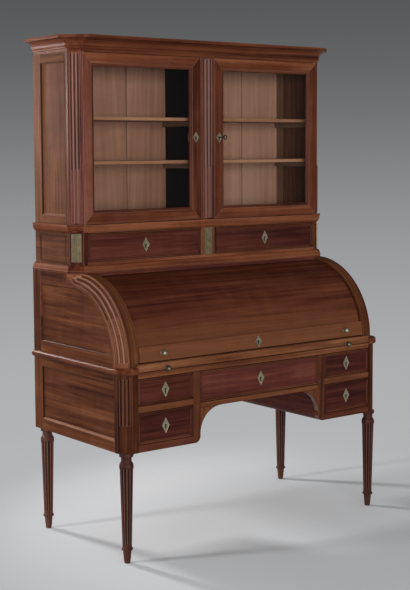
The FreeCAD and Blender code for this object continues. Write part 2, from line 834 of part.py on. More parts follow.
def save_drawers(name, x_low, x_high, z_low, z_high, face, rear):
    """A right-hand drawer, its left-hand twin and their locks."""
    pieces = drawer(x_low, x_high, z_low, z_high, face, rear)
    lock = drawer_lock((x_low + x_high) / 2, (z_low + z_high) / 2, face)
    save("right_" + name, pieces)
    save("right_" + name + "_lock", lock)
    save("left_" + name, [mirrored(piece) for piece in pieces])
    save("left_" + name + "_lock", [mirrored(piece) for piece in lock])


base_rear = back_face - base_drawer_rear_room
save_drawers("lower_drawer", drawer_inner, drawer_outer, lower_low, lower_high, front_y, base_rear)
save_drawers("upper_drawer", drawer_inner, drawer_outer, upper_low, upper_high, front_y, base_rear)
centre_edge = knee_half - front_gap
save("centre_drawer", drawer(-centre_edge, centre_edge, centre_low, upper_high, front_y, base_rear))
save("centre_drawer_lock", drawer_lock(0, (centre_low + upper_high) / 2, front_y))
save_drawers("tier_drawer", centre_half + front_gap, tier_post_inner - front_gap, tier_drawer_low,
             tier_drawer_high, book_front, back_face - tier_drawer_rear_room)


# Pigeonholes: a nest of thin boards with two small drawers
nest_half = slide_half - nest_side_gap
nest_front = floor_front + nest_set_back
nest_reach = shell_inner - nest_clearance
nest_back = axis_y + nest_reach * nest_back_share
nest_top = axis_z + math.sqrt(nest_reach ** 2 - (nest_back - axis_y) ** 2)
nest_row = floor_top + nest_board
nest_shelf = nest_row + nest_drawer_height + 2 * running_gap
nest_inner = nest_half - nest_board
nest_drawer_outer = nest_inner - running_gap
nest_drawer_inner = nest_drawer_outer - nest_drawer_width
nest_wall = nest_drawer_inner - running_gap
nest_rear = nest_back - nest_board
nest = [
    box(-nest_half, nest_half, nest_front, nest_back, floor_top, nest_row),
    box(-nest_half, nest_half, nest_front, nest_back, nest_top - nest_board, nest_top),
    box(-nest_inner, nest_inner, nest_rear, nest_back, nest_row, nest_top - nest_board),
    box(-nest_inner, nest_inner, nest_front, nest_rear, nest_shelf, nest_shelf + nest_board),
]
nest += pair(box(nest_inner, nest_half, nest_front, nest_back, nest_row, nest_top - nest_board))
nest += pair(box(nest_wall - nest_board, nest_wall, nest_front, nest_rear, nest_row, nest_shelf))
for share in nest_column_shares:
    x = nest_half * share
    nest.append(box(x - nest_board / 2, x + nest_board / 2, nest_front, nest_rear, nest_shelf + nest_board,
                    nest_top - nest_board))
save("pigeonhole_nest", nest)
nest_drawer_low = nest_row + running_gap
nest_drawer_high = nest_drawer_low + nest_drawer_height
nest_front_back = nest_front + nest_board
nest_box_high = nest_drawer_high - nest_drawer_board
nest_drawer = [box(nest_drawer_inner, nest_drawer_outer, nest_front, nest_front_back, nest_drawer_low,
                   nest_drawer_high)]
nest_drawer += drawer_box(nest_drawer_inner, nest_drawer_outer, nest_drawer_low, nest_box_high,
                          nest_front_back, nest_rear - running_gap, nest_drawer_board, nest_drawer_board)
nest_knob_seat = point((nest_drawer_inner + nest_drawer_outer) / 2, nest_front,
                       (nest_drawer_low + nest_drawer_high) / 2)
nest_drawer.append(knob(nest_knob_seat, point(0, -1, 0), nest_knob_radius, nest_knob_reach))
save("right_inner_drawer", nest_drawer)
save("left_inner_drawer", [mirrored(piece) for piece in nest_drawer])


# Drawer tier: canted corner blocks, sides, rails, partition and dust boards
book_cant_front = (book_half - bookcase_cant, book_front)
book_cant_side = (book_half, book_front + bookcase_cant)


def corner_plan(inner):
    """The plan of a canted corner post from its inner face outwards."""
    return [(inner, book_front), book_cant_front, book_cant_side, (book_half, book_post_back),
            (inner, book_post_back)]


tier_dust_low = tier_rail_low - dust_board_thickness
tier = [
    box(-tier_post_inner, tier_post_inner, book_front, book_frame_back, tier_floor_top, tier_rail_low),
    box(-tier_post_inner, tier_post_inner, book_front, book_frame_back, tier_rail_high, book_floor_low),
    box(-centre_half, centre_half, book_front, book_frame_back, tier_rail_low, tier_rail_high),
    box(-partition_half, partition_half, book_frame_back, back_face, tier_floor_top, book_floor_low),
]
tier += both_sides([
    upright(corner_plan(tier_post_inner), tier_floor_top, book_floor_low),
    box(book_inner, book_half, book_post_back, back_y, tier_floor_top, book_floor_low),
    box(partition_half, tier_post_inner, book_frame_back, back_face, tier_dust_low, tier_rail_low),
])
save("tier_frame", tier)


# Brass plaques with upright grooves, on the canted blocks and the centre block
plaque_low = (tier_drawer_low + tier_drawer_high - plaque_height) / 2
plaque_half = plaque_width / 2
plaque_high = plaque_low + plaque_height
plaque = box(-plaque_half, plaque_half, -plaque_thickness, 0, plaque_low, plaque_high)
for index in range(plaque_groove_count):
    x = plaque_width * ((index + 1) / (plaque_groove_count + 1) - 0.5)
    hollow = round_points(x, -plaque_thickness, plaque_groove_radius, 0, 180, plaque_groove_steps)
    plaque = plaque.cut(upright(hollow, plaque_low, plaque_high))
corner_plaque = plaque.copy()
corner_plaque.rotate(point(0, 0, 0), point(0, 0, 1), 45)
corner_plaque.translate(point(book_half - bookcase_cant / 2, book_front + bookcase_cant / 2, 0))
plaque.translate(point(0, book_front, 0))
save("brass_plaques", [plaque] + pair(corner_plaque))


# Boards with canted corners: the tier's floor, the bookcase floor and its roof
hinge_x = book_post_inner - hinge_gap - hinge_inset
hinge_y = book_front + hinge_depth
book_plan = [book_cant_front, book_cant_side, (book_half, back_face)]
book_plan += [(-x, y) for x, y in reversed(book_plan)]
book_floor = upright(book_plan, book_floor_low, book_floor_top)
book_roof = upright(book_plan, book_roof_low, book_roof_top)
socket_depth = hinge_pin_reach + pin_gap
socket_radius = hinge_pin_radius + pin_gap
for x in (-hinge_x, hinge_x):
    floor_hole = point(x, hinge_y, book_floor_top - socket_depth)
    book_floor = book_floor.cut(Part.makeCylinder(socket_radius, socket_depth, floor_hole))
    roof_hole = point(x, hinge_y, book_roof_low)
    book_roof = book_roof.cut(Part.makeCylinder(socket_radius, socket_depth, roof_hole))
save("case_boards", [upright(book_plan, roll_top, tier_floor_top), book_floor, book_roof])


# Bookcase: fluted posts, framed sides, partition, back planks and shelves
flute_low = book_floor_top + upper_flute_margin
flute_high = book_roof_low - upper_flute_margin
side_post = upright(corner_plan(book_post_inner), book_floor_top, book_roof_low)
side_post = fluted(side_post, book_cant_front, book_cant_side, flute_low, flute_high)
centre_post = box(-centre_half, centre_half, book_front, book_frame_back, book_floor_top, book_roof_low)
centre_post = fluted(centre_post, (-centre_half, book_front), (centre_half, book_front),
                     flute_low, flute_high)
save("upper_posts", pair(side_post) + [centre_post])
upper_stile_front = back_y - upper_stile_width
upper_panel_front = book_post_back + upper_front_stile_width
upper_panel_low = book_floor_top + upper_rail_height
upper_panel_high = book_roof_low - upper_rail_height
upper_frames = [
    box(book_inner, book_half, upper_stile_front, back_y, book_floor_top, book_roof_low),
    box(book_inner, book_half, book_post_back, upper_panel_front, book_floor_top, book_roof_low),
    box(book_inner, book_half, upper_panel_front, upper_stile_front, book_floor_top, upper_panel_low),
    box(book_inner, book_half, upper_panel_front, upper_stile_front, upper_panel_high, book_roof_low),
]
save("upper_side_frames", both_sides(upper_frames))
upper_panel = beaded_panel(book_half, upper_panel_front, upper_stile_front,
                           upper_panel_low, upper_panel_high)
save("upper_side_panels", both_sides(upper_panel))
partition = box(-partition_half, partition_half, book_frame_back, back_face, book_floor_top, book_roof_low)
save("upper_partition", [partition])
plank_width = 2 * book_inner / back_plank_count
planks = []
for index in range(back_plank_count):
    x = plank_width * index - book_inner
    planks.append(box(x, x + plank_width, back_face, back_y, roll_top, book_roof_top))
save("upper_back", planks)
shelves = []
cleats = []
for share in shelf_height_shares:
    shelf_z = book_floor_top + bookcase_height * share
    cleat_z = shelf_z - cleat_height
    shelf_y = book_front + shelf_set_back
    shelves += pair(box(partition_half, book_inner, shelf_y, back_face, shelf_z, shelf_z + shelf_thickness))
    cleats += pair(box(partition_half, partition_half + cleat_width, shelf_y, back_face, cleat_z, shelf_z))
    cleats += pair(box(book_inner - cleat_width, book_inner, shelf_y, back_face, cleat_z, shelf_z))
save("shelves", shelves)
save("shelf_cleats", cleats)


# Mouldings: the tier's base, the waist under the doors, and the cornice
book_path = [(book_half, back_y), book_cant_side, book_cant_front]
book_path = [(-x, y) for x, y in book_path] + book_path[::-1]


def rounded_profile(projection, height, turned_up):
    """A fillet with an oval round above it, or below it when turned up."""
    fillet = height * moulding_fillet_share
    points = [(0, 0), (projection, 0), (projection, fillet)]
    for step in range(1, round_steps + 1):
        angle = math.pi / 2 * step / round_steps
        points.append((projection * math.cos(angle), fillet + (height - fillet) * math.sin(angle)))
    if turned_up:
        return [(out, height - rise) for out, rise in points]
    return points


tier_base_profile = rounded_profile(tier_base_projection, tier_base_height, False)
tier_base = mitred_lengths(book_path, tier_base_profile, level(roll_top))
waist_profile = rounded_profile(waist_projection, waist_height, True)
waist = mitred_lengths(book_path, waist_profile, level(book_floor_top - waist_height))
save("case_mouldings", tier_base + waist)

hollow_out = cornice_projection - cornice_bead
hollow_rise = cornice_height - cornice_fillet - cornice_bead
cornice_profile = [(-cornice_seat, 0), (cornice_bead, 0)]
for step in range(round_steps + 1):
    angle = math.pi / 2 * step / round_steps
    out = cornice_bead + hollow_out * (1 - math.cos(angle))
    cornice_profile.append((out, cornice_bead + hollow_rise * math.sin(angle)))
cornice_profile += [(cornice_projection, cornice_height), (-cornice_seat, cornice_height)]
cornice_path = [(x, min(y, back_face)) for x, y in book_path]
cornice_spreads = [cornice_side_share, cornice_cant_share, 1, cornice_cant_share, cornice_side_share]
save("cornice", mitred_lengths(cornice_path, cornice_profile, level(book_roof_top), False, cornice_spreads))


# Glazed doors on pivot pins, with a lozenge, a rim lock and a key in the right one
door_inner = centre_half + door_gap
door_outer = book_post_inner - hinge_gap
door_low = book_floor_top + door_gap
door_high = book_roof_low - door_gap
door_back = book_front + door_thickness
shoulder = door_thickness - glass_setting
sash = door_frame_width - door_rebate
bevel_low = door_thickness - door_bevel_depth
bevel_start = door_frame_width - door_bevel_width
door_profile = [(0, 0), (sash, 0), (sash, shoulder), (door_frame_width, shoulder)]
door_profile += [(door_frame_width, bevel_low), (bevel_start, door_thickness), (0, door_thickness)]
door_frame = mitred_lengths(rectangle(door_inner, door_outer, door_low, door_high), door_profile,
                            lambda a, b, rise: point(a, door_back - rise, b), True)
lock_x = door_inner + door_lock_inset
lock_z = door_low + (door_high - door_low) * door_lock_height_share
inward = point(0, 1, 0)
key_way = Part.makeCylinder(keyhole_radius, door_thickness, point(lock_x, book_front, lock_z), inward)
door_frame[0] = door_frame[0].cut(key_way)
edge = sash + pin_gap
glass_seat = door_back - shoulder
glass = box(door_inner + edge, door_outer - edge, glass_seat, glass_seat + glass_thickness, door_low + edge,
            door_high - edge)
pin_length = door_gap + hinge_pin_reach
rim_lock = lock_case(lock_x, door_back, lock_z, door_lock_width, lock_height)
chamber_back = door_back + lock_thickness - lozenge_thickness
chamber = box(lock_x - key_chamber_reach, lock_x + key_chamber_reach, door_back, chamber_back,
              lock_z - key_chamber_reach, lock_z + key_chamber_reach)
fittings = [
    lozenge(lock_x, book_front, lock_z, door_lozenge_width, door_lozenge_height),
    rim_lock.cut(chamber),
    Part.makeCylinder(hinge_pin_radius, pin_length, point(hinge_x, hinge_y, door_low - pin_length)),
    Part.makeCylinder(hinge_pin_radius, pin_length, point(hinge_x, hinge_y, door_high)),
]
for side, turn in (("right", lambda piece: piece), ("left", mirrored)):
    save(side + "_door_frame", [turn(piece) for piece in door_frame])
    save(side + "_door_glass", [turn(glass)])
    save(side + "_door_fittings", [turn(piece) for piece in fittings])

key_end = door_back + lock_thickness / 2
key_front = book_front - key_reach
key_shank = Part.makeCylinder(key_radius, key_end - key_front, point(lock_x, key_front, lock_z), inward)


def bow_plate(radius):
    """A many-sided plate as thick as the wire of the key's bow."""
    ring = round_points(key_front - key_bow_radius, lock_z, radius, 0, 360, key_bow_steps)[:-1]
    face = outline_face([point(lock_x - key_wire_radius, y, z) for y, z in ring])
    return face.extrude(point(2 * key_wire_radius, 0, 0))


key_bow = bow_plate(key_bow_radius + key_wire_radius).cut(bow_plate(key_bow_radius - key_wire_radius))
key_bit = box(lock_x - key_wire_radius / 2, lock_x + key_wire_radius / 2, key_end - key_bit_width, key_end,
              lock_z - key_bit_drop, lock_z)
save("door_key", [key_shank.fuse([key_bow, key_bit])])
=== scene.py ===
import math
import random

import bmesh
import bpy
from mathutils import Matrix, Vector


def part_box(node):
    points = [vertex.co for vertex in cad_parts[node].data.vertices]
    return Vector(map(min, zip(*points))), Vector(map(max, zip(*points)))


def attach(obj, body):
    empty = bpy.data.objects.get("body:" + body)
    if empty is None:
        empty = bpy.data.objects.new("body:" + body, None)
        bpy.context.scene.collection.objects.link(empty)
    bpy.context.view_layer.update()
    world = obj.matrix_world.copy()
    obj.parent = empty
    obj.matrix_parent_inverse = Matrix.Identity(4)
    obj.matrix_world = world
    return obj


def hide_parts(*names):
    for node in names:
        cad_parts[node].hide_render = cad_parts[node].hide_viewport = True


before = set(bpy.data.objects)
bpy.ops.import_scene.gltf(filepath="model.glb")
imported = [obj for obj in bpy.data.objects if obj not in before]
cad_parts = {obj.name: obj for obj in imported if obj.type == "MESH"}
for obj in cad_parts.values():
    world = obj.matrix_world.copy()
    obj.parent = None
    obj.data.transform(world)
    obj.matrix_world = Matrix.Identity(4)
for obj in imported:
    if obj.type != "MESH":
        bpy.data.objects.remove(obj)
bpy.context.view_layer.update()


# Legs
# Four tapering legs turned from solid mahogany, with twelve flutes cut along the shaft, a ring at the
# ankle and a small peg foot. Each is dowelled into a corner post by a pin hidden in its collar.
def put(tree, kind, feeds=None, out=0, **options):
    """Add a node, set its options, feed its sockets with values or other outputs, and give an output of it."""
    made = tree.nodes.new(kind)
    for option, value in options.items():
        setattr(made, option, value)
    for socket, value in (feeds or {}).items():
        if isinstance(value, bpy.types.NodeSocket):
            tree.links.new(value, made.inputs[socket])
        else:
            made.inputs[socket].default_value = value
    return made.outputs[out] if len(made.outputs) else None


def spread(tree, value, low, high, start, end, **options):
    """A value between two levels, carried over to between two others."""
    return put(tree, "ShaderNodeMapRange", {0: value, 1: low, 2: high, 3: start, 4: end}, **options)


def noise(tree, place, scale, detail, swirl=0.0):
    """Soft cloudy values round a half."""
    return put(tree, "ShaderNodeTexNoise", {"Vector": place, "Scale": scale, "Detail": detail, "Distortion": swirl},
               "Fac")


def ramp(tree, share, stops):
    """Colours over a share from 0 to 1, each at its own spot."""
    colour = put(tree, "ShaderNodeValToRGB", {"Fac": share})
    held = colour.node.color_ramp.elements
    while len(held) < len(stops):
        held.new(0.5)
    for stop, (spot, tint) in zip(held, stops):
        stop.position, stop.color = spot, (*tint, 1.0)
    return colour


def bump(tree, height, strength, distance):
    """Fine relief for a surface."""
    return put(tree, "ShaderNodeBump", {"Strength": strength, "Distance": distance, "Height": height})


def blank(name):
    """A new material and its empty node tree."""
    material = bpy.data.materials.new(name)
    material.use_nodes = True
    material.node_tree.nodes.clear()
    return material, material.node_tree


def surface(tree, feeds):
    """Close a material's tree with its surface."""
    put(tree, "ShaderNodeOutputMaterial", {"Surface": put(tree, "ShaderNodeBsdfPrincipled", feeds)})


def polished_wood(name, tones, streak=1.3, drift=1.0, wear_and_painted_light=0.35, gloss=(0.36, 0.50), shine=0.06,
                  rub_and_sheen_tint=(0.30, 0.150, 0.105)):
    """Wood with streaks, ripple and pores that run along each board's own grain."""
    material, tree = blank(name)
    grain = put(tree, "ShaderNodeAttribute", out="Vector", attribute_name="grain")
    tone, edge = (put(tree, "ShaderNodeAttribute", out="Fac", attribute_name=title) for title in ("tone", "edge"))
    place = put(tree, "ShaderNodeVectorMath", {0: tone, 1: (17.0, 5.3, 9.1), 2: grain}, operation="MULTIPLY_ADD")

    def figure(stretch, detail, swirl):
        drawn = put(tree, "ShaderNodeVectorMath", {0: place, 1: stretch}, operation="MULTIPLY")
        return noise(tree, drawn, 1.0, detail, swirl)

    def blend(first, share, second):
        return put(tree, "ShaderNodeMath", {0: first, 1: share, 2: second}, operation="MULTIPLY_ADD")

    def mix(share, first, second):
        return put(tree, "ShaderNodeMix", {0: share, 6: first, 7: (*second, 1.0)}, 2, data_type="RGBA")

    streaks = figure((1.7, 62.0, 62.0), 5.0, 0.6)
    broad = figure((0.9, 7.5, 7.5), 3.0, 0.5)
    ripple = figure((17.0, 5.0, 5.0), 2.0, 0.3)
    pores = figure((45.0, 800.0, 800.0), 1.0, 0.0)
    middle = 0.5 - 0.5 * (streak + drift + 0.3)
    depth = blend(streaks, streak, blend(broad, drift, blend(ripple, 0.3, blend(tone, 0.14, middle))))
    last = len(tones) - 1
    colour = ramp(tree, depth, [(0.08 + 0.84 * number / last, tint) for number, tint in enumerate(tones)])
    colour = mix(spread(tree, pores, 0.56, 0.72, 0.0, 0.4), colour, tones[0])
    # Positive edge values lighten a face towards the rub and sheen tint: rubbed wear, and on the posts, rails and
    # fall also painted sheen.
    colour = mix(spread(tree, edge, 0.0, 1.0, 0.0, wear_and_painted_light), colour, rub_and_sheen_tint)
    # Negative edge values darken a face: darker flute hollows, and painted shade along gaps and beads.
    colour = mix(spread(tree, edge, 0.0, -1.0, 0.0, 0.8), colour, [channel * 0.35 for channel in tones[0]])
    surface(tree, {"Base Color": colour, "Roughness": spread(tree, streaks, 0.3, 0.7, *gloss),
                   "Normal": bump(tree, pores, 0.25, 0.0004), "Specular IOR Level": shine})
    return material


def hand_over(name, mesh, *nodes, body="case", slot="mahogany"):
    """Hang a finished mesh on its body, in place of the solids that it stands for."""
    piece = bpy.data.objects.new(name, mesh)
    bpy.context.scene.collection.objects.link(piece)
    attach(piece, body)
    if nodes:
        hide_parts(*nodes)


class Work:
    """The boards of one piece: points, faces, grain, tone, edge values for wear and painted light and shade, and
    finish.
    """

    def __init__(self, seed):
        self.points, self.faces, self.grain, self.tone, self.edge, self.finish = [], [], [], [], [], []
        self.chance = random.Random(seed)

    def add(self, points, faces, grain, edge=None, finish=0, tone=None):
        start = len(self.points)
        tone = self.chance.uniform(-1.0, 1.0) if tone is None else tone
        self.points += [tuple(place) for place in points]
        self.faces += [[start + corner for corner in face] for face in faces]
        self.grain += [tuple(place) for place in grain]
        self.tone += [tone] * len(points)
        self.edge += list(edge) if edge else [0.0] * len(faces)
        self.finish += finish if isinstance(finish, list) else [finish] * len(faces)

    def refinish(self, finish, rule):
        for number, face in enumerate(self.faces):
            if rule([Vector(self.points[corner]) for corner in face], self.edge[number]):
                self.finish[number] = finish

    def mesh(self, name, finishes):
        mesh = bpy.data.meshes.new(name)
        mesh.from_pydata(self.points, [], self.faces)
        for title, kind, domain, field, values in (
                ("grain", "FLOAT_VECTOR", "POINT", "vector", [axis for place in self.grain for axis in place]),
                ("tone", "FLOAT", "POINT", "value", self.tone), ("edge", "FLOAT", "FACE", "value", self.edge)):
            mesh.attributes.new(title, kind, domain).data.foreach_set(field, values)
        mesh.polygons.foreach_set("material_index", self.finish)
        mesh.polygons.foreach_set("use_smooth", [True] * len(self.faces))
        for finish in finishes:
            mesh.materials.append(finish)
        mesh.set_sharp_from_angle(angle=math.radians(20))
        mesh.update()
        return mesh

    def done(self, name, finishes, *nodes, **where):
        hand_over(name, self.mesh(name, finishes), *nodes, **where)


def bands(rows, count, closed=False):
    """Four-sided faces between rows of points, each row running round a ring."""
    faces = []
    for row in range(rows if closed else rows - 1):
        here, there = row * count, (row + 1) % rows * count
        faces += [[here + step, here + (step + 1) % count, there + (step + 1) % count, there + step]
                  for step in range(count)]
    return faces


def lathe(rings, sides, groove=None):
    """Points and faces of a turned form through (radius, height) rings, closed at both ends."""
    points = []
    for radius, height in rings:
        for side in range(sides):
            turn = 2 * math.pi * side / sides
            reach = radius - (groove(side / sides, radius, height) if groove else 0.0)
            points.append((reach * math.cos(turn), reach * math.sin(turn), height))
    last = (len(rings) - 1) * sides
    return points, bands(len(rings), sides) + [list(range(sides))[::-1], list(range(last, last + sides))]


def grown(name, ground, inputs, draw):
    """Build on a mesh with the Geometry Nodes that draw adds, and bring the result back as a plain mesh."""
    base = bpy.data.objects.new(name + "_ground", ground)
    bpy.context.scene.collection.objects.link(base)
    tree = bpy.data.node_groups.new(name, "GeometryNodeTree")
    tree.interface.new_socket(name="Geometry", in_out="INPUT", socket_type="NodeSocketGeometry")
    sockets = {}
    for title, (kind, value) in inputs.items():
        socket = tree.interface.new_socket(name=title, in_out="INPUT", socket_type="NodeSocket" + kind)
        sockets[socket.identifier] = value
    tree.interface.new_socket(name="Geometry", in_out="OUTPUT", socket_type="NodeSocketGeometry")
    given = put(tree, "NodeGroupInput").node.outputs
    whole = put(tree, "GeometryNodeRealizeInstances", {"Geometry": draw(tree, given)})
    done = put(tree, "GeometryNodeSetMaterial", {"Geometry": whole, "Material": given["Finish"]})
    put(tree, "NodeGroupOutput", {0: done})
    step = base.modifiers.new(name, "NODES")
    step.node_group = tree
    for identifier, value in sockets.items():
        step[identifier] = value
    mesh = bpy.data.meshes.new_from_object(base.evaluated_get(bpy.context.evaluated_depsgraph_get()))
    mesh.name = name
    base.modifiers.remove(step)
    bpy.data.objects.remove(base)
    return mesh


def set_out(name, single, places, finish, seed):
    """Set a piece out at points, each with a tone of its own, as one plain mesh."""
    single.attributes.remove(single.attributes["tone"])
    marks = bpy.data.meshes.new(name + "_marks")
    marks.from_pydata([place for place, turn in places], [], [])
    marks.attributes.new("turn", "FLOAT_VECTOR", "POINT").data.foreach_set(
        "vector", [angle for place, turn in places for angle in turn])
    pattern = bpy.data.objects.new(name + "_pattern", single)
    bpy.context.scene.collection.objects.link(pattern)

    def draw(tree, given):
        form = put(tree, "GeometryNodeObjectInfo", {"Object": given["Pattern"]}, "Geometry")
        turn = put(tree, "GeometryNodeInputNamedAttribute", {"Name": "turn"}, data_type="FLOAT_VECTOR")
        copies = put(tree, "GeometryNodeInstanceOnPoints", {"Points": given["Geometry"], "Instance": form,
                                                            "Rotation": turn, "Scale": given["Size"]})
        shade = put(tree, "FunctionNodeRandomValue", {2: -1.0, 3: 1.0, 8: given["Seed"]}, 1, data_type="FLOAT")
        return put(tree, "GeometryNodeStoreNamedAttribute", {"Geometry": copies, "Name": "tone", "Value": shade},
                   data_type="FLOAT", domain="INSTANCE")

    mesh = grown(name, marks, {"Pattern": ("Object", pattern), "Size": ("Float", 1.0), "Seed": ("Int", seed),
                               "Finish": ("Material", finish)}, draw)
    bpy.data.objects.remove(pattern)
    return mesh


leg_flutes, leg_sides, shaft_low, shaft_high = 12, 120, 0.074, 0.379


def shaft_flute(share, radius, height):
    """How deep a flute is cut, a share of the way round the shaft at a height."""
    swell = min(1.0, max(0.0, min(height - shaft_low, shaft_high - height) / 0.012))
    across = abs((share * leg_flutes) % 1.0 - 0.5) / 0.40
    return 0.0 if across >= 1 else radius * 0.15 * math.sqrt(1 - across * across) * math.sqrt(swell)


leg_rings = [(0.0105, 0.0), (0.0118, 0.002), (0.0142, 0.022), (0.0164, 0.0495), (0.0176, 0.0507),
             (0.0203, 0.0518), (0.0222, 0.0542), (0.0225, 0.0565), (0.0222, 0.0588), (0.0205, 0.0612),
             (0.0188, 0.0625), (0.0184, 0.066), (0.0185, 0.070)]
leg_rings += [(0.0185 + 0.0075 * (height - 0.072) / 0.301, height)
              for height in (0.074, 0.0755, 0.078, 0.082, 0.086, 0.16, 0.23, 0.30, 0.352, 0.361, 0.367)]
leg_rings += [(0.0268, 0.372), (0.0276, 0.3755), (0.0280, 0.379), (0.0280, 0.384), (0.0274, 0.389), (0.0258, 0.394),
              (0.0232, 0.3975), (0.0214, 0.399), (0.0206, 0.403), (0.0203, 0.4085), (0.0206, 0.414),
              (0.0214, 0.4178), (0.0226, 0.419), (0.0262, 0.4196), (0.0276, 0.4215), (0.0280, 0.4265),
              (0.0276, 0.4315), (0.0268, 0.434)]
points, faces = lathe(leg_rings, leg_sides, shaft_flute)
leg_wood = polished_wood("mahogany_turned", [
    (0.020, 0.0062, 0.0050), (0.041, 0.0136, 0.0102), (0.063, 0.0232, 0.0170), (0.098, 0.0420, 0.0305)])
# The flute hollows are darkened and the arrises beside them rubbed lighter.
hollows = []
for side in range(leg_sides):
    across = abs((side + 0.5) * leg_flutes / leg_sides % 1.0 - 0.5)
    hollows.append(-0.8 if across < 0.34 else 1.0 if across > 0.41 else 0.0)
edge = []
for (radius, near), (further, far) in zip(leg_rings, leg_rings[1:]):
    edge += hollows if near > 0.077 and far < 0.377 else [0.0] * leg_sides
one_leg = Work(3)
one_leg.add(points, faces, [(z, x, y) for x, y, z in points], edge + [0.0, 0.0])
leg_places = [((x, y, 0.0), (0.0, 0.0, spin)) for x, y, spin in
              ((-0.652, -0.2825, 0.0), (0.652, -0.2825, 1.6), (-0.652, 0.3095, 3.1), (0.652, 0.3095, 4.7))]
legs = set_out("turned_legs", one_leg.mesh("one_leg", [leg_wood]), leg_places, leg_wood, 11)
hand_over("turned_legs", legs, "legs")


# Corner posts of the base
# Solid mahogany posts, canted at the front with three stopped flutes cut by a gouge, square behind.
# The rails of the case are tenoned into them and the legs stand under them.
def solids_of(node):
    """The points of a node and the runs of its triangles that close into one board each."""
    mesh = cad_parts[node].data
    spots, points, index = {}, [], []
    for vertex in mesh.vertices:
        key = tuple(round(axis, 6) for axis in vertex.co)
        if key not in spots:
            spots[key] = len(points)
            points.append(vertex.co.copy())
        index.append(spots[key])
    solids, faces, loose = [], [], set()
    for polygon in mesh.polygons:
        corners = [index[corner] for corner in polygon.vertices]
        if len(set(corners)) < 3:
            continue
        faces.append(corners)
        for here, there in zip(corners, corners[1:] + corners[:1]):
            if (there, here) in loose:
                loose.remove((there, here))
            else:
                loose.add((here, there))
        if not loose:
            solids.append(faces)
            faces = []
    return points, solids


def eased(points, faces, ease):
    """A board with its corners eased: points, faces, and which faces are the eased arrises."""
    form = bmesh.new()
    spots = {corner: form.verts.new(points[corner]) for corner in sorted({c for face in faces for c in face})}
    for face in faces:
        form.faces.new([spots[corner] for corner in face])
    bmesh.ops.dissolve_limit(form, angle_limit=0.008, verts=form.verts, edges=form.edges)
    eased_arris = form.faces.layers.int.new("eased_arris")
    arrises = [edge for edge in form.edges if edge.is_manifold and edge.calc_face_angle(0.0) > 0.5]
    if arrises and ease > 0:
        cut = bmesh.ops.bevel(form, geom=arrises, offset=ease, offset_type="OFFSET", segments=1, profile=0.5,
                              affect="EDGES", clamp_overlap=True)
        for face in cut["faces"]:
            face[eased_arris] = 1
        bmesh.ops.dissolve_degenerate(form, dist=0.000002, edges=form.edges)
    form.verts.index_update()
    result = ([vertex.co.copy() for vertex in form.verts],
              [[vertex.index for vertex in face.verts] for face in form.faces],
              [face[eased_arris] for face in form.faces])
    form.free()
    return result


def lay_board(work, points, faces, ease=0.001, finish=0, tone=None, wear=(0.0, 1.0)):
    """Add one board, its grain along its longest side, its arrises rubbed lighter or darkened: dark joints, and
    painted shade along gaps and beads.
    """
    points, faces, eased_arris = eased(points, faces, ease)
    spans = [max(place[axis] for place in points) - min(place[axis] for place in points) for axis in range(3)]
    along = spans.index(max(spans))
    across, through = [axis for axis in range(3) if axis != along]
    lean = work.chance.uniform(-0.04, 0.04)
    grain = [(place[along] + lean * place[across], place[across] - lean * place[along], place[through])
             for place in points]
    work.add(points, faces, grain, [wear[face] for face in eased_arris], finish, tone)


def boards(work, node, keep=None, finish=0, tone=None, **how):
    """Add a node's boards; their finish and tone are values, or functions of a board's number."""
    points, solids = solids_of(node)
    for number, faces in enumerate(solids):
        if keep is None or number in keep:
            lay_board(work, points, faces, finish=finish(number) if callable(finish) else finish,
                      tone=tone(number) if callable(tone) else tone, **how)


def skin(sections):
    """Points and faces of a closed form through a run of like sections."""
    count, last = len(sections[0]), (len(sections) - 1) * len(sections[0])
    points = [place for section in sections for place in section]
    faces = bands(len(sections), count) + [list(range(count))[::-1], list(range(last, last + count))]
    form = bmesh.new()
    spots = [form.verts.new(place) for place in points]
    made = [form.faces.new([spots[corner] for corner in face]) for face in faces]
    bmesh.ops.recalc_face_normals(form, faces=made)
    form.verts.index_update()
    faces = [[vertex.index for vertex in face.verts] for face in made]
    form.free()
    return points, faces


flute_radius, arris = 0.005, 0.0007


def fluted_columns(width, centres, radius):
    """Places across a fluted face, close together in each flute and at the arrises."""
    columns = {0.0, arris, width - arris, width}
    for centre in centres:
        columns |= {centre + radius * math.sin(math.pi * step / 16) for step in range(-8, 9)}
        columns |= {centre - radius - arris, centre + radius + arris}
    return sorted(columns)


def flute_hollow(across, centres, radius, pasts, sunk=0.82):
    """How deep a place across the face lies, each flute being so far past its straight part."""
    flute = min(range(len(centres)), key=lambda number: abs(across - centres[number]))
    return sunk * math.sqrt(max(0.0, radius ** 2 - pasts[flute] ** 2 - (across - centres[flute]) ** 2))


def flute_wear(depths, columns, centres, others, lands):
    """Darker hollows, rubbed arrises, and lands lightened by a given share as painted sheen, face by face, for rows
    of depths.
    """
    deepest = max(max(row) for row in depths)
    wear = []
    for near, far in zip(depths, depths[1:]):
        cut = max(near) > 0 and max(far) > 0
        for step, (left, right) in enumerate(zip(columns, columns[1:])):
            sunk = min(near[step], near[step + 1], far[step], far[step + 1])
            between = cut and sunk == 0 and centres[0] < left and right < centres[-1]
            sharp = right - left < 1.01 * arris and (cut or step in (0, len(columns) - 2))
            wear.append(-0.55 if sunk > 0.45 * deepest else 1.0 if sharp else lands if between else 0.0)
        wear += [0.0] * (others + 1)
    return wear + [0.0, 0.0]


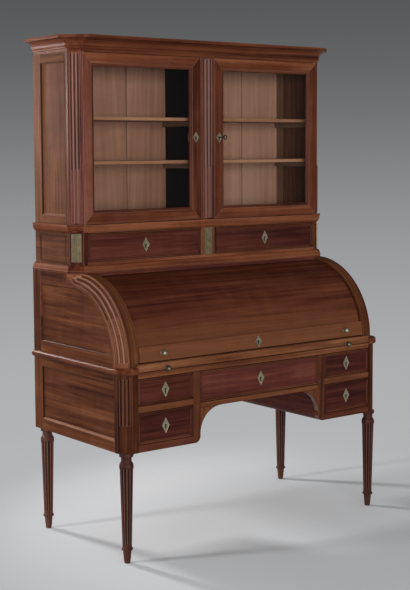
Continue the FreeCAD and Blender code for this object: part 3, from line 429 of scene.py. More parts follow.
def fluted_post(work, plan, face, low, high, flute_low, flute_high, lands, tone=None):
    """An upright post of a plan outline, with three round-ended flutes in one face of it."""
    start, end = Vector(plan[face]), Vector(plan[(face + 1) % len(plan)])
    width = (end - start).length
    side = (end - start) / width
    inward = Vector((-side.y, side.x))
    middle = sum((Vector(corner) for corner in plan), Vector((0, 0))) / len(plan)
    inward = -inward if inward.dot(middle - start) < 0 else inward
    centres = [width * share for share in (0.25, 0.5, 0.75)]
    columns = fluted_columns(width, centres, flute_radius)
    ends = [flute_radius * math.sin(math.pi * step / 12) for step in range(7)]
    rows = sorted({low, high} | {flute_low - step for step in ends} | {flute_high + step for step in ends})
    others = [Vector(plan[(face + 1 + step) % len(plan)]) for step in range(1, len(plan) - 1)]
    sections, depths = [], []
    for height in rows:
        past = max(flute_low - height, height - flute_high, 0.0)
        depths.append([flute_hollow(across, centres, flute_radius, [past] * 3) for across in columns])
        spots = [start + side * across + inward * depth for across, depth in zip(columns, depths[-1])]
        sections.append([Vector((spot.x, spot.y, height)) for spot in spots + others])
    points, faces = skin(sections)
    work.add(points, faces, [(place.z, place.x, place.y) for place in points],
             flute_wear(depths, columns, centres, len(others), lands), tone=tone)


def canted(way, inner, half, front, cut, back):
    """The plan of a canted post on one side, from its inner front corner round."""
    return [(way * inner, front), (way * (half - cut), front), (way * half, front + cut), (way * half, back),
            (way * inner, back)]


case_half, case_front, case_back, cant = 0.688, -0.3185, 0.3455, 0.043
post_inner, post_deep, leg_top, belt_low = 0.619, 0.062, 0.434, 0.738
# The front posts take a darker tone and the darker side finish: painted shade.
posts = Work(21)
for way in (-1, 1):
    plan = canted(way, post_inner, case_half, case_front, cant, case_front + post_deep)
    fluted_post(posts, plan, 1, leg_top, belt_low, flute_low=0.546, flute_high=0.718, lands=0.1, tone=-1.5)
boards(posts, "base_corner_posts", keep=(2, 3))
# A darker copy of the mahogany for the lower sides, posts and the rails' front strips: painted shade.
side_wood = polished_wood("mahogany_side", [
    (0.022, 0.0058, 0.0032), (0.052, 0.0150, 0.0066), (0.088, 0.0285, 0.0115), (0.140, 0.0530, 0.0220)],
    drift=1.7, shine=0.03)
posts.done("base_posts", [side_wood], "base_corner_posts")


# Sides of the base and its front frame
# Mahogany rails tenoned between the posts hold a thin panel with a mitred bead. In front, rails, stiles
# and an arched apron with glued quarter-round brackets frame the drawers and the kneehole.
frame_wood = polished_wood("mahogany_frame", [
    (0.040, 0.0108, 0.0052), (0.084, 0.0258, 0.0110), (0.130, 0.0445, 0.0188), (0.195, 0.0740, 0.0335)])
figured = polished_wood("mahogany_figured", [
    (0.026, 0.0054, 0.0045), (0.052, 0.0118, 0.0088), (0.080, 0.0205, 0.0142), (0.122, 0.0355, 0.0230)], wear_and_painted_light=0.2)
edging = polished_wood("mahogany_edging", [
    (0.030, 0.0074, 0.0046), (0.064, 0.0172, 0.0094), (0.100, 0.0300, 0.0158), (0.150, 0.0500, 0.0260)])
# A lilac-grey copy of the mahogany: a painted highlight for the slanting faces under the arch.
arch_wood = polished_wood("mahogany_arch", [
    (0.090, 0.0480, 0.0430), (0.140, 0.0800, 0.0740), (0.190, 0.1130, 0.1070), (0.250, 0.1560, 0.1500)])


def built(node, finishes, name=None, seed=None, body="case", slot="mahogany", **how):
    """A piece made of a node's boards alone."""
    made = Work(seed or node)
    boards(made, node, **how)
    made.done(name or node + "_wood", finishes, node, body=body, slot=slot)


built("base_side_rails", [side_wood])
built("kneehole_walls", [figured])
front = Work("front_frame")
# Eased arrises of the front frame darkened: painted shade along its gaps.
boards(front, "base_front_frame", ease=0.0015, finish=lambda number: int(number in (4, 5)), wear=(0.0, -0.6))


def slanting(corners, wear_and_painted_light):
    """Whether a face that isn't an eased arris faces none of the main ways, as under the arch."""
    facing = (corners[1] - corners[0]).cross(corners[2] - corners[0]).normalized()
    return wear_and_painted_light == 0.0 and max(abs(axis) for axis in facing) < 0.995


# The slanting faces under the arch take the painted highlight.
front.refinish(2, slanting)
front.done("base_front_wood", [frame_wood, edging, arch_wood], "base_front_frame")


def beaded_sides(node, finish, tone, bead_wear):
    """Panels and the beads round them: front, top, back and bottom ones, each lightened or darkened on its own as
    painted highlight and shade.
    """
    made = Work(node)
    boards(made, node, keep=(0, 1), tone=tone)
    for number, wear in enumerate(bead_wear):
        boards(made, node, keep=(2 + 2 * number, 3 + 2 * number), wear=(wear, wear))
    made.done(node + "_wood", [finish], node)


beaded_sides("base_side_panels", side_wood, -0.4, (0.25, -0.35, -0.8, 0.9))


# Hidden boards of the base
# Planed, unpolished boards: dust boards that the drawers run on, their guides, and the back of the base
# and of the roll section, nailed into rebates.
plain = polished_wood("plain_boards", [
    (0.150, 0.078, 0.045), (0.205, 0.112, 0.068), (0.262, 0.152, 0.096), (0.320, 0.196, 0.130)],
    streak=1.1, gloss=(0.5, 0.66))
for node in ("base_dust_boards", "drawer_guides", "base_back", "roll_back"):
    built(node, [plain], slot="plain_boards")


# Belt moulding
# A half-round mahogany moulding worked on the rail above the base sides, mitred round the canted corners.
def mitred(path, profile, place, spreads=None, closed=False, runs=None):
    """Lengths of a profile along a path, each as points and faces, mitred where the path turns."""
    spans = len(path) if closed else len(path) - 1
    spreads = spreads or [1.0] * spans
    normals = []
    for span in range(spans):
        run = (Vector(path[(span + 1) % len(path)]) - Vector(path[span])).normalized()
        normals.append((run.y, -run.x))
    sections = []
    for corner in range(spans + 1):
        first = (corner - 1) % spans if closed else max(corner - 1, 0)
        second = corner % spans if closed else min(corner, spans - 1)
        (a, b), (c, d) = normals[first], normals[second]
        turn = a * d - b * c
        out = (a * spreads[first], b * spreads[first])
        if abs(turn) > 1e-6:
            out = ((spreads[first] * d - spreads[second] * b) / turn,
                   (spreads[second] * a - spreads[first] * c) / turn)
        x, y = path[corner % len(path)]
        sections.append([place(x + out[0] * step, y + out[1] * step, rise) for step, rise in profile])
    runs = runs or [(span, span + 1) for span in range(spans)]
    return [skin(sections[first:last + 1]) for first, last in runs]


def arc(centre_out, centre_rise, wide, tall, start, turn, steps):
    """Points on an oval arc, from a start angle through a turn, in degrees."""
    angles = [math.radians(start + turn * step / steps) for step in range(steps + 1)]
    return [(centre_out + wide * math.cos(angle), centre_rise + tall * math.sin(angle)) for angle in angles]


polish = [(0.036, 0.0085, 0.0050), (0.084, 0.0225, 0.0102), (0.134, 0.0400, 0.0172), (0.205, 0.0700, 0.0320)]
belt_wood = polished_wood("mahogany_belt", polish, gloss=(0.33, 0.45), shine=0.05)
belt = Work(31)
belt_profile = [(-0.024, 0.0)] + arc(-0.001, 0.013, 0.013, 0.013, -90, 180, 16) + [(-0.024, 0.026)]
for way in (-1, 1):
    path = canted(way, post_inner, case_half, case_front, cant, case_back)[:4][::way]
    for points, faces in mitred(path, belt_profile, lambda x, y, rise: Vector((x, y, belt_low + rise))):
        lay_board(belt, points, faces, 0.0006)
belt.done("belt_moulding_wood", [belt_wood], "belt_moulding")


# Drawers of the base
# Each front is a dark figured veneer with a mitred mahogany frame round it; the box behind is thin plain
# boards, dovetailed. A brass lozenge is pinned over the keyhole, with the lock let in behind.
def metal(name, dark, light, rough, grime):
    """Old metal: cloudy tarnish and roughness, and fine scratches in relief."""
    material, tree = blank(name)
    place = put(tree, "ShaderNodeTexCoord", out="Object")
    cloud, fine = noise(tree, place, 55.0, 4.0), noise(tree, place, 900.0, 2.0)
    surface(tree, {"Base Color": ramp(tree, cloud, ((0.32, dark), (0.66, light))), "Metallic": 0.85,
                   "Roughness": spread(tree, cloud, 0.3, 0.7, rough[1], rough[0]),
                   "Normal": bump(tree, fine, grime, 0.0002)})
    return material


pale_brass = metal("rubbed_brass", (0.290, 0.250, 0.172), (0.430, 0.378, 0.272), (0.30, 0.44), 0.1)
iron = metal("black_iron", (0.020, 0.018, 0.017), (0.060, 0.055, 0.050), (0.42, 0.60), 0.35)


def lozenge(work, place, wide, tall):
    """A cast lozenge with a raised rim round a keyhole; place sets (across, up, out) on the piece."""
    sides = 48
    turns = [(math.cos(2 * math.pi * side / sides), math.sin(2 * math.pi * side / sides)) for side in range(sides)]
    plate = [1 / (abs(c) / (wide / 2) + abs(s) / (tall / 2)) for c, s in turns]
    hole = [max(0.0047, min(0.0034 / max(abs(c), 1e-6), 0.0145 / max(-s, 1e-6)) if s < 0 else 0.0)
            for c, s in turns]
    rings = [(plate, 1.0, 0.0), (plate, 1.0, 0.0011), (plate, 0.965, 0.0018), (plate, 0.90, 0.0020),
             (plate, 0.85, 0.0017), (plate, 0.815, 0.0010), (hole, 1.12, 0.0010), (hole, 1.0, 0.0008),
             (hole, 1.0, 0.0001)]
    points, faces = skin([[place(c * reach * share, s * reach * share, rise) for (c, s), reach in zip(turns, form)]
                          for form, share, rise in rings])
    # The keyhole is closed just behind the plate by black iron: the lock behind it, painted dark as the shade inside.
    finish = [0] * 7 * sides + [1] * (len(faces) - 7 * sides)
    finish[-2] = 0
    work.add(points, faces, points, finish=finish)


def dotted(name, form, spots, finish, seed, *nodes, soft=20, **where):
    """Small turned forms, all alike, set out at spots as one piece."""
    one = Work(name)
    one.add(*form, form[0])
    made = set_out(name, one.mesh(name + "_one", [finish]), spots, finish, seed)
    made.set_sharp_from_angle(angle=math.radians(soft))
    hand_over(name, made, *nodes, **where)


pin = lathe([(0.0017, 0.0), (0.0016, 0.0004), (0.0011, 0.0008), (0.0004, 0.00095)], 10)


def escutcheon(name, node, place, turn, wide, tall, body, keep=(1,)):
    """A lozenge with its pins, and the lock behind it, in place of a lock's solids."""
    made = Work(name)
    lozenge(made, place, wide, tall)
    boards(made, node, keep=keep, ease=0.0006)
    made.done(name, [pale_brass, iron], node, body=body, slot="brass")
    spots = [(place(0.0, share * tall, 0.0009), turn) for share in (-0.335, 0.335)]
    dotted(name + "_pins", pin, spots, pale_brass, 5, body=body, slot="brass")


facing_front = (math.pi / 2, 0.0, 0.0)


def front_place(x, y, z):
    """Set (across, up, out) on an upright front at a point."""
    return lambda across, up, out: Vector((x + across, y - out, z + up))


def drawer(name, face, tone):
    """A framed drawer with a veneer of its own tone, and its lozenge."""
    made = Work(name)
    boards(made, name, keep=(0,), ease=0.0015, tone=tone)
    # The frame's eased arrises are darkened: painted shade in the gaps round the drawer.
    boards(made, name, keep=(1, 2, 3, 4), ease=0.0018, finish=1, wear=(0.0, -0.75),
           tone=lambda number: 0.6 * tone + made.chance.uniform(-0.5, 0.5))
    boards(made, name, keep=range(5, 20), finish=2)
    made.done(name + "_wood", [figured, edging, plain], name, body=name, slot="mahogany_dark")
    low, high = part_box(name + "_lock")
    place = front_place((low.x + high.x) / 2, face + 0.005, (low.z + high.z) / 2)
    escutcheon(name + "_lozenge", name + "_lock", place, facing_front, wide=0.036, tall=0.064, body=name)


for name, tone in (("left_lower_drawer", -1.1), ("left_upper_drawer", 0.4), ("centre_drawer", 1.2),
                   ("right_upper_drawer", -1.0), ("right_lower_drawer", -1.1)):
    drawer(name, case_front, tone)


# Writing slide
# A framed board that slides out over the drawers, its front edge a mahogany band with two turned brass
# knobs, its top lined with green leather tooled with a stamped gilt border.
banding = polished_wood("mahogany_banding", [
    (0.050, 0.0145, 0.0068), (0.104, 0.0345, 0.0145), (0.160, 0.0590, 0.0250), (0.232, 0.0960, 0.0440)])
# Eased arrises darkened: painted shade along the slide's gaps.
built("writing_slide", [banding, frame_wood], seed="slide", body="slide", ease=0.0018, finish=lambda number: number,
      wear=(0.0, -0.8))

knob_rings = [(0.0095, 0.0), (0.0100, 0.0008), (0.0095, 0.0018), (0.0078, 0.0024), (0.0062, 0.0030),
              (0.0052, 0.0042), (0.0056, 0.0052)]
knob_rings += [(0.0120 * math.cos(math.radians(angle)), 0.0150 + 0.0120 * math.sin(math.radians(angle)))
               for angle in (-56, -42, -28, -14, 0, 14, 28, 42, 56, 68, 78)] + [(0.0009, 0.0269)]
knob = lathe(knob_rings, 28)
# A darker, duller brass, used for the slide knobs and the plaques' grooves.
darker_brass = metal("dull_brass", (0.110, 0.088, 0.055), (0.190, 0.155, 0.100), (0.40, 0.55), 0.2)
slide_knob_x, slide_knob_z = 0.4835, 0.752
knob_spots = [((x, case_front, slide_knob_z), facing_front) for x in (-slide_knob_x, slide_knob_x)]
dotted("slide_knobs_brass", knob, knob_spots, darker_brass, 7, "slide_knobs", soft=40, body="slide", slot="brass")

hide, tree = blank("green_hide")
place = put(tree, "ShaderNodeTexCoord", out="Object")
pebble = put(tree, "ShaderNodeTexVoronoi", {"Vector": place, "Scale": 700.0}, "Distance")
scuff = noise(tree, place, 7.0, 5.0)
surface(tree, {"Base Color": ramp(tree, scuff, ((0.3, (0.020, 0.032, 0.014)), (0.72, (0.062, 0.078, 0.032)))),
               "Roughness": spread(tree, scuff, 0.3, 0.7, 0.62, 0.42), "Normal": bump(tree, pebble, 0.3, 0.0004)})
built("writing_leather", [hide], "writing_leather_hide", "leather", "slide", "leather", ease=0.0008)

low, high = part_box("writing_leather")
inset, stamp_step = 0.022, 0.0105
left, right, near, far = low.x + inset, high.x - inset, low.y + inset, high.y - inset
corners = [(left, near), (right, near), (right, far), (left, far)]
stamps = []
for start, end in zip(corners, corners[1:] + corners[:1]):
    run = (end[0] - start[0], end[1] - start[1])
    count = round((abs(run[0]) + abs(run[1])) / stamp_step)
    stamps += [((start[0] + run[0] * number / count, start[1] + run[1] * number / count, high.z - 0.0002),
                (0.0, 0.0, 0.0)) for number in range(count)]
gilt = metal("stamped_gilt", (0.280, 0.200, 0.080), (0.480, 0.360, 0.150), (0.34, 0.50), 0.1)
stamp = lathe([(0.0042, 0.0), (0.0040, 0.0004), (0.0026, 0.0004), (0.0020, 0.0002)], 4)
dotted("leather_tooling", stamp, stamps, gilt, 9, body="slide", slot="leather")


# Sides of the roll
# A mahogany frame on each side holds a panel set back from its face, with a quarter-round bead glued into
# the corner all round it.
for node, tone in (("roll_side_frames", 0.1), ("roll_side_panels", -0.8)):
    made = Work(node)
    boards(made, node, tone=lambda number: tone + made.chance.uniform(-0.3, 0.3))
    made.done(node + "_wood", [side_wood], node)
axis_y, axis_z, inner_curve = 0.0365, 0.768, 0.282


def on_roll(x, reach, turn):
    """A place so far along the cylinder's axis, so far out from it, at a turn round it in degrees."""
    ray = math.radians(turn)
    return Vector((x, axis_y - reach * math.cos(ray), axis_z + reach * math.sin(ray)))


panel_low, panel_high, panel_back, panel_face = 0.806, 1.050, 0.2875, 0.682
first_turn = math.degrees(math.asin((panel_low - axis_z) / inner_curve))
edge_line = [on_roll(0.0, inner_curve, first_turn + (90 - first_turn) * step / 30)[1:] for step in range(31)]
edge_line += [(panel_back, panel_high), (panel_back, panel_low)]
bead = [(0.0, 0.0), (-0.0065, 0.0)] + arc(0.0, 0.0, 0.0065, 0.0052, 180, -90, 6)[1:]
roll_beads = Work("roll_beads")
for way in (-1, 1):
    for points, faces in mitred(edge_line[::-1], bead, lambda y, z, rise: Vector((way * (panel_face + rise), y, z)),
                                closed=True, runs=[(0, 1), (1, 2), (2, 32), (32, 33)]):
        # The long curved bead beside the rail is darkened: painted shade.
        wear = -0.7 if len(points) > 100 else 0.0
        roll_beads.add(points, faces, [(place.y, place.z, place.x) for place in points], [wear] * len(faces))
roll_beads.done("roll_beads", [side_wood])


# Curved fluted rails
# The rails that the cylinder runs behind, sawn to a quarter circle in three glued lengths, canted along
# the outer edge and fluted with a scratch tool; reeds of mahogany fill the lower part of each flute.
roll_radius, rail_inner, rail_foot = 0.337, 0.600, 0.764
rail_start, rail_end, reed_end, head_back = 4.0, 84.0, 35.0, 0.041
rail_flute, rail_sunk, rail_tip = 0.0072, 0.6, 0.026
span = cant * math.sqrt(2)
rail_centres = [span * share for share in (0.19, 0.5, 0.81)]
rail_columns = fluted_columns(span, rail_centres, rail_flute)
# Its rub tint and the lands lightened between the flutes are partly wear, partly a painted sheen.
rail_wood = polished_wood("mahogany_rail", [
    (0.040, 0.0110, 0.0060), (0.090, 0.0280, 0.0130), (0.142, 0.0490, 0.0225), (0.210, 0.0800, 0.0385)],
    wear_and_painted_light=0.5, rub_and_sheen_tint=(0.340, 0.180, 0.120))


def on_curve(share, turn):
    """A place on the cant, a share of the way across it, at a turn round the curve."""
    return on_roll(case_half - cant * (1 - share), roll_radius - cant * share, turn)


def on_head(share, step):
    """The cant carried on from the curve in a soft bend, up to the edge under the drawer tier."""
    start, bend = on_curve(share, rail_end), on_curve(share, 90.0)
    end = bend + Vector((0.0, head_back * max(0.97 * share, 0.02), cant * share))
    if step > 0.5:
        return bend.lerp(end, 0.45 + 0.55 * (2 * step - 1))
    return start.lerp(bend, 2 * step).lerp(bend.lerp(bend.lerp(end, 0.45), 2 * step), 2 * step)


rim = [math.degrees(rail_flute * math.sin(math.pi * step / 12) / roll_radius) for step in range(7)]
turns = sorted({0.0} | {rail_start - step for step in rim}
               | {rail_start + (rail_end - rail_start) * step / 42 for step in range(1, 43)})
rail_rows = [(on_curve, turn) for turn in turns] + [(on_head, step / 28) for step in range(1, 29)]
flute_lines = [[spot(centre / span, value) for spot, value in rail_rows] for centre in rail_centres]
to_come = [[sum((b - a).length for a, b in zip(line[row:], line[row + 1:])) for row in range(len(line))]
           for line in flute_lines]
rails = Work("curved_rails")
for way in (-1, 1):
    sections, depths, grain = [], [], []
    for row, (spot, value) in enumerate(rail_rows):
        if spot is on_curve:
            turn, back, ray, run = value, 0.0, math.radians(value), math.radians(value) * 0.3
            inward = Vector((-1.0, math.cos(ray), -math.sin(ray))).normalized()
            past = max(0.0, math.radians(rail_start - value) * roll_radius)
        else:
            turn, back = rail_end + 12 * min(value, 0.5), head_back * max(0.0, 2 * value - 1) * 0.98
            run = 0.44 + 0.09 * value
            inward = Vector((-1.0, 0.1, -1.0)).lerp(Vector((-1.0, 1.05, -1.0)), value).normalized()
            past = 0.0
        pasts = [max(past, rail_tip + rail_flute - rest[row]) for rest in to_come]
        depths.append([flute_hollow(across, rail_centres, rail_flute, pasts, rail_sunk) for across in rail_columns])
        loop = [spot(across / span, value) + inward * depth for across, depth in zip(rail_columns, depths[-1])]
        loop += [on_roll(x, reach, turn) + Vector((0.0, back, 0.0)) for x, reach in
                 ((case_half, inner_curve), (rail_inner, inner_curve), (rail_inner, roll_radius))]
        sections.append(loop)
        grain += [(run, place.x, math.hypot(place.y - axis_y, place.z - axis_z)) for place in loop]
    foot = [Vector((place.x, place.y, rail_foot)) for place in sections[0]]
    crown = [Vector((case_half - cant * (1 - across / span), axis_y + head_back, axis_z + roll_radius))
             for across in rail_columns]
    crown += [Vector((place.x, axis_y + head_back, place.z)) for place in sections[-1][-3:]]
    sections = [foot] + sections + [crown]
    depths = [depths[0]] + depths + [[0.0] * len(rail_columns)]
    first, last = grain[:len(foot)], grain[-len(foot):]
    grain = [(-0.004, *place[1:]) for place in first] + grain + [(0.56, *place[1:]) for place in last]
    points, faces = skin([[Vector((way * place.x, place.y, place.z)) for place in section] for section in sections])
    # The rail's front strip takes the darker side finish: painted shade.
    finish = ([0] * (len(foot) - 4) + [1] * 4) * (len(sections) - 1) + [0, 0]
    rails.add(points, faces, grain, flute_wear(depths, rail_columns, rail_centres, 3, 0.7), finish)
rails.done("curved_rails_wood", [rail_wood, side_wood], "curved_fluted_rails")


def reeds(name, paths, girth, finish):
    """Reeds along paths of (spot, share of the girth), drawn with Geometry Nodes as one piece."""
    lines = bpy.data.meshes.new(name + "_lines")
    links, start = [], 0
    for path in paths:
        links += [(start + step, start + step + 1) for step in range(len(path) - 1)]
        start += len(path)
    lines.from_pydata([spot for path in paths for spot, share in path], links, [])
    lines.attributes.new("share", "FLOAT", "POINT").data.foreach_set(
        "value", [share for path in paths for spot, share in path])

    def draw(tree, given):
        line = put(tree, "GeometryNodeMeshToCurve", {"Mesh": given["Geometry"]})
        share = put(tree, "GeometryNodeInputNamedAttribute", {"Name": "share"}, data_type="FLOAT")
        ring = put(tree, "GeometryNodeCurvePrimitiveCircle", {"Resolution": given["Sides"], "Radius": given["Girth"]})
        form = put(tree, "GeometryNodeCurveToMesh", {"Curve": line, "Profile Curve": ring, "Scale": share,
                                                     "Fill Caps": True})
        x, y, z = put(tree, "ShaderNodeSeparateXYZ", {0: put(tree, "GeometryNodeInputPosition")}).node.outputs
        along = put(tree, "ShaderNodeCombineXYZ", {0: z, 1: x, 2: y})
        # A faint lightening towards the rub and sheen tint.
        for title, kind, value in (("grain", "FLOAT_VECTOR", along), ("edge", "FLOAT", 0.05)):
            form = put(tree, "GeometryNodeStoreNamedAttribute", {"Geometry": form, "Name": title, "Value": value},
                       data_type=kind, domain="POINT")
        return put(tree, "GeometryNodeSetShadeSmooth", {"Geometry": form})

    hand_over(name, grown(name, lines, {"Girth": ("Float", girth), "Sides": ("Int", 14),
                                        "Finish": ("Material", finish)}, draw))


def reed_steps(low, high, over, between=0):
    """Heights or turns along a reed, with its share of the girth there, rounded over at both ends."""
    tip = [(math.sin(math.radians(angle)), math.cos(math.radians(angle))) for angle in (0, 25, 50, 70, 84)]
    steps = [(low - over * past, girth) for past, girth in tip[::-1]]
    steps += [(low + (high - low) * step / between, 1.0) for step in range(1, between)]
    return steps + [(high + over * past, girth) for past, girth in tip]


reed_girth, reed_set = 0.0064, 0.0066
rail_reeds = []
for way in (-1, 1):
    for centre in rail_centres:
        sunk = reed_set * math.sqrt(0.5)
        reach = roll_radius - (cant * centre / span + sunk)
        x = way * (case_half - cant + cant * centre / span - sunk)
        rail_reeds.append([(on_roll(x, reach, turn), girth) for turn, girth in
                           reed_steps(rail_start, reed_end, math.degrees(reed_girth / reach), 16)])
reeds("curved_rail_reeds", rail_reeds, reed_girth, rail_wood)


# Inside of the roll
# The deck over the cylinder, the floor behind the writing slide and a nest of thin mahogany boards for
# papers, housed into each other, with two small drawers on turned knobs.
mahogany = polished_wood("mahogany_polished", polish)
built("roll_boards", [figured], ease=0.0007)
built("pigeonhole_nest", [mahogany], ease=0.0007)
inner_knob, inner_face, inner_middle, knob_girth, knob_length = 0.3936, -0.0205, 0.8294, 0.62, 0.59
for way, name in ((-1, "left_inner_drawer"), (1, "right_inner_drawer")):
    built(name, [banding, plain], body=name, keep=range(5), ease=0.0006, finish=lambda number: int(number > 0))
    made = Work(name + "_knob")
    spots = [Vector((way * inner_knob + x * knob_girth, inner_face - z * knob_length, inner_middle + y * knob_girth))
             for x, y, z in knob[0]]
    made.add(spots, knob[1], [(spot.y, spot.x, spot.z) for spot in spots])
    made.done(name + "_knob", [figured], body=name)


# Cylinder
# A rigid quarter-round fall of glued staves under one sheet of figured veneer, with a thicker bottom rail.
# Iron arms screwed inside carry it on two pins; brass knobs and a lozenge are set in the rail.
# Its rub tint is the painted light on the lower curve of the fall.
mottled = polished_wood("mahogany_mottled", [
    (0.038, 0.0078, 0.0046), (0.070, 0.0170, 0.0086), (0.104, 0.0290, 0.0138), (0.152, 0.0490, 0.0230)],
    wear_and_painted_light=0.55, rub_and_sheen_tint=(0.185, 0.0760, 0.0310))
fall_half, fall_inner, fall_outer, fall_start, fall_ease = 0.597, 0.306, 0.322, 1.873, 0.0012
for name, seed, node, inner, outer, end, steps in (
        ("cylinder_fall", "fall", "cylinder_staves", fall_inner, fall_outer, 90.0, 64),
        ("cylinder_rail", "fall_rail", "cylinder_bottom_rail", fall_outer, roll_radius, fall_start + 10.5, 10)):
    slip = math.degrees(fall_ease / outer)
    loop = [(outer - fall_ease, fall_start)]
    loop += [(outer, fall_start + slip + (end - fall_start - 2 * slip) * step / steps) for step in range(steps + 1)]
    loop += [(outer - fall_ease, end)]
    loop += [(inner, end - (end - fall_start) * step / steps) for step in range(steps + 1)]
    points, faces = skin([[on_roll(x, reach, turn) for reach, turn in loop] for x in (-fall_half, fall_half)])
    around = [outer * math.radians(turn) for reach, turn in loop] * 2
    grain = [(place.x, run, math.hypot(place.y - axis_y, place.z - axis_z)) for place, run in zip(points, around)]
    made = Work(seed)
    # Faces lighten towards the bottom of the fall and over its rail: painted light on the lower curve.
    made.add(points, faces, grain, [max(0.0, 1.0 - turn / 34) for reach, turn in loop] + [0.0, 0.0])
    made.done(name, [mottled], node, body="cylinder", slot="mahogany_dark")
built("cylinder_arms", [iron], "cylinder_arms_iron", "arms", "cylinder", "iron", ease=0.0008)
built("cylinder_pivots", [iron], "cylinder_pivots_iron", "pivots", "case", "iron", ease=0.0008)
fall_knob_x, knob_turn = 0.488, 7.0
knob_spots = [(on_roll(x, roll_radius, knob_turn), (math.radians(90 - knob_turn), 0.0, 0.0))
              for x in (-fall_knob_x, fall_knob_x)]
dotted("cylinder_knobs_brass", knob, knob_spots, pale_brass, 7, "cylinder_knobs", soft=40, body="cylinder",
       slot="brass")
lean = math.radians(fall_start + 4.896)


def on_rail(across, up, out):
    """Set (across, up, out) on the cylinder's rail at its lock."""
    reach = roll_radius + out
    return Vector((across, axis_y - reach * math.cos(lean) + up * math.sin(lean),
                   axis_z + reach * math.sin(lean) + up * math.cos(lean)))


escutcheon("cylinder_lozenge", "cylinder_lock", on_rail, (math.pi / 2 - lean, 0.0, 0.0), wide=0.036, tall=0.052,
           body="cylinder")


# Drawer tier
# Mahogany rails and canted corner blocks carry two shallow drawers under the bookcase; rounded mouldings
# mitred round the corners hide the joints above and below.
# A paler copy of the mahogany for the upper sides and the tier's sides: painted sheen.
upright = polished_wood("mahogany_upright", [
    (0.045, 0.0160, 0.0085), (0.080, 0.0305, 0.0160), (0.114, 0.0460, 0.0245), (0.158, 0.0680, 0.0370)],
    gloss=(0.52, 0.66), shine=0.01)
tier = Work("tier")
# The side and corner boards of the tier take darker tones and the others a lighter one: painted shade.
side_tone, tier_tones = -1.6, {4: -2.2, 5: -2.2, 6: -1.6, 7: -1.6}
boards(tier, "tier_frame", finish=lambda number: int(number in (6, 7)),
       tone=lambda number: tier_tones.get(number, 1.3))
book_front, book_half, book_cant = 0.0365, 0.673, 0.041
bead = [(0.0, 0.0), (-0.0075, 0.0), (-0.0060, 0.0016), (-0.0015, 0.0016)]
bead_line = [(0.104, 1.142), (0.306, 1.142), (0.306, 1.258), (0.104, 1.258)]
for way in (-1, 1):
    lengths = mitred(bead_line, bead, lambda y, z, rise: Vector((way * (book_half + rise - 0.0002), y, z)),
                     closed=True)
    # The beads are darkened, most along the rear: painted shade.
    for (points, faces), wear in zip(lengths, (-0.1, -0.7, -0.2, -0.1)):
        lay_board(tier, points, faces, 0.0, 1, side_tone, (wear, wear))
tier.done("tier_frame_wood", [mahogany, upright], "tier_frame")
drawer("left_tier_drawer", book_front, 0.5)
drawer("right_tier_drawer", book_front, -0.1)


def rounded(projection, height, upside_down):
    """A fillet with an oval round above it, or below it."""
    fillet = 0.3 * height
    line = [(0.0, 0.0), (projection, 0.0), (projection, fillet - 0.002), (projection - 0.0022, fillet)]
    line += arc(0.0, fillet, projection - 0.0022, height - fillet, 0, 90, 14)[1:]
    return [(out, height - rise) for out, rise in line] if upside_down else line


moulding_wood = polished_wood("mahogany_moulding", polish, gloss=(0.52, 0.66), shine=0.02)
book_path = canted(1, 0.0, book_half, book_front, book_cant, case_back)[1:4]
book_path = [(-x, y) for x, y in book_path[::-1]] + book_path
trim = Work("mouldings")
for profile, height in ((rounded(0.016, 0.030, False), 1.105), (rounded(0.014, 0.032, True), 1.266)):
    lengths = mitred(book_path, profile, lambda x, y, rise: Vector((x, y, height + rise)))
    # The canted lengths take darker tones and the front length a lighter one: painted shade on the cants.
    for (points, faces), tone in zip(lengths, (-0.5, -2.0, 1.8, -2.0, -0.3)):
        lay_board(trim, points, faces, 0.0005, tone=tone)
trim.done("case_mouldings_wood", [moulding_wood], "case_mouldings")


# Brass plaques
# Three cast brass plates with upright grooves, pinned on the canted corner blocks and the centre block.
brass = metal("old_brass", (0.190, 0.146, 0.078), (0.248, 0.195, 0.108), (0.36, 0.50), 0.1)
half, low, high, thick, groove, lip = 0.021, 1.1485, 1.2625, 0.003, 0.0022, 0.0004
across = [(-half, 0.0), (-half, thick - lip), (-half + lip, thick)]
for number in range(5):
    middle = 2 * half * ((number + 1) / 6 - 0.5)
    across += [(middle - groove * math.cos(math.radians(turn)), thick - groove * math.sin(math.radians(turn)))
               for turn in range(0, 181, 15)]
across += [(half - lip, thick), (half, thick - lip), (half, 0.0)]
grooves = [1 if 3 <= step < 63 and 3 <= (step - 3) % 13 <= 8 else 0 for step in range(len(across))] + [0, 0]
plaques = Work("plaques")
plaque_pins = []
for x, y, turn in ((0.0, book_front, 0.0), (book_half - book_cant / 2, book_front + book_cant / 2, math.pi / 4),
                   (book_cant / 2 - book_half, book_front + book_cant / 2, -math.pi / 4)):
    side = Vector((math.cos(turn), math.sin(turn), 0.0))
    out = Vector((math.sin(turn), -math.cos(turn), 0.0))
    points, faces = skin([[Vector((x, y, height)) + side * place + out * rise for place, rise in across]
                          for height in (low, high)])
    plaques.add(points, faces, points, finish=grooves)
    plaque_pins += [(Vector((x, y, height)) + side * place + out * (thick - 0.0002), (math.pi / 2, 0.0, turn))
                    for place in (-0.0182, 0.0182) for height in (low + 0.004, high - 0.004)]
plaques.done("plaques_brass", [brass, darker_brass], "brass_plaques", slot="brass")
dotted("plaque_pins", pin, plaque_pins, brass, 3, slot="brass")


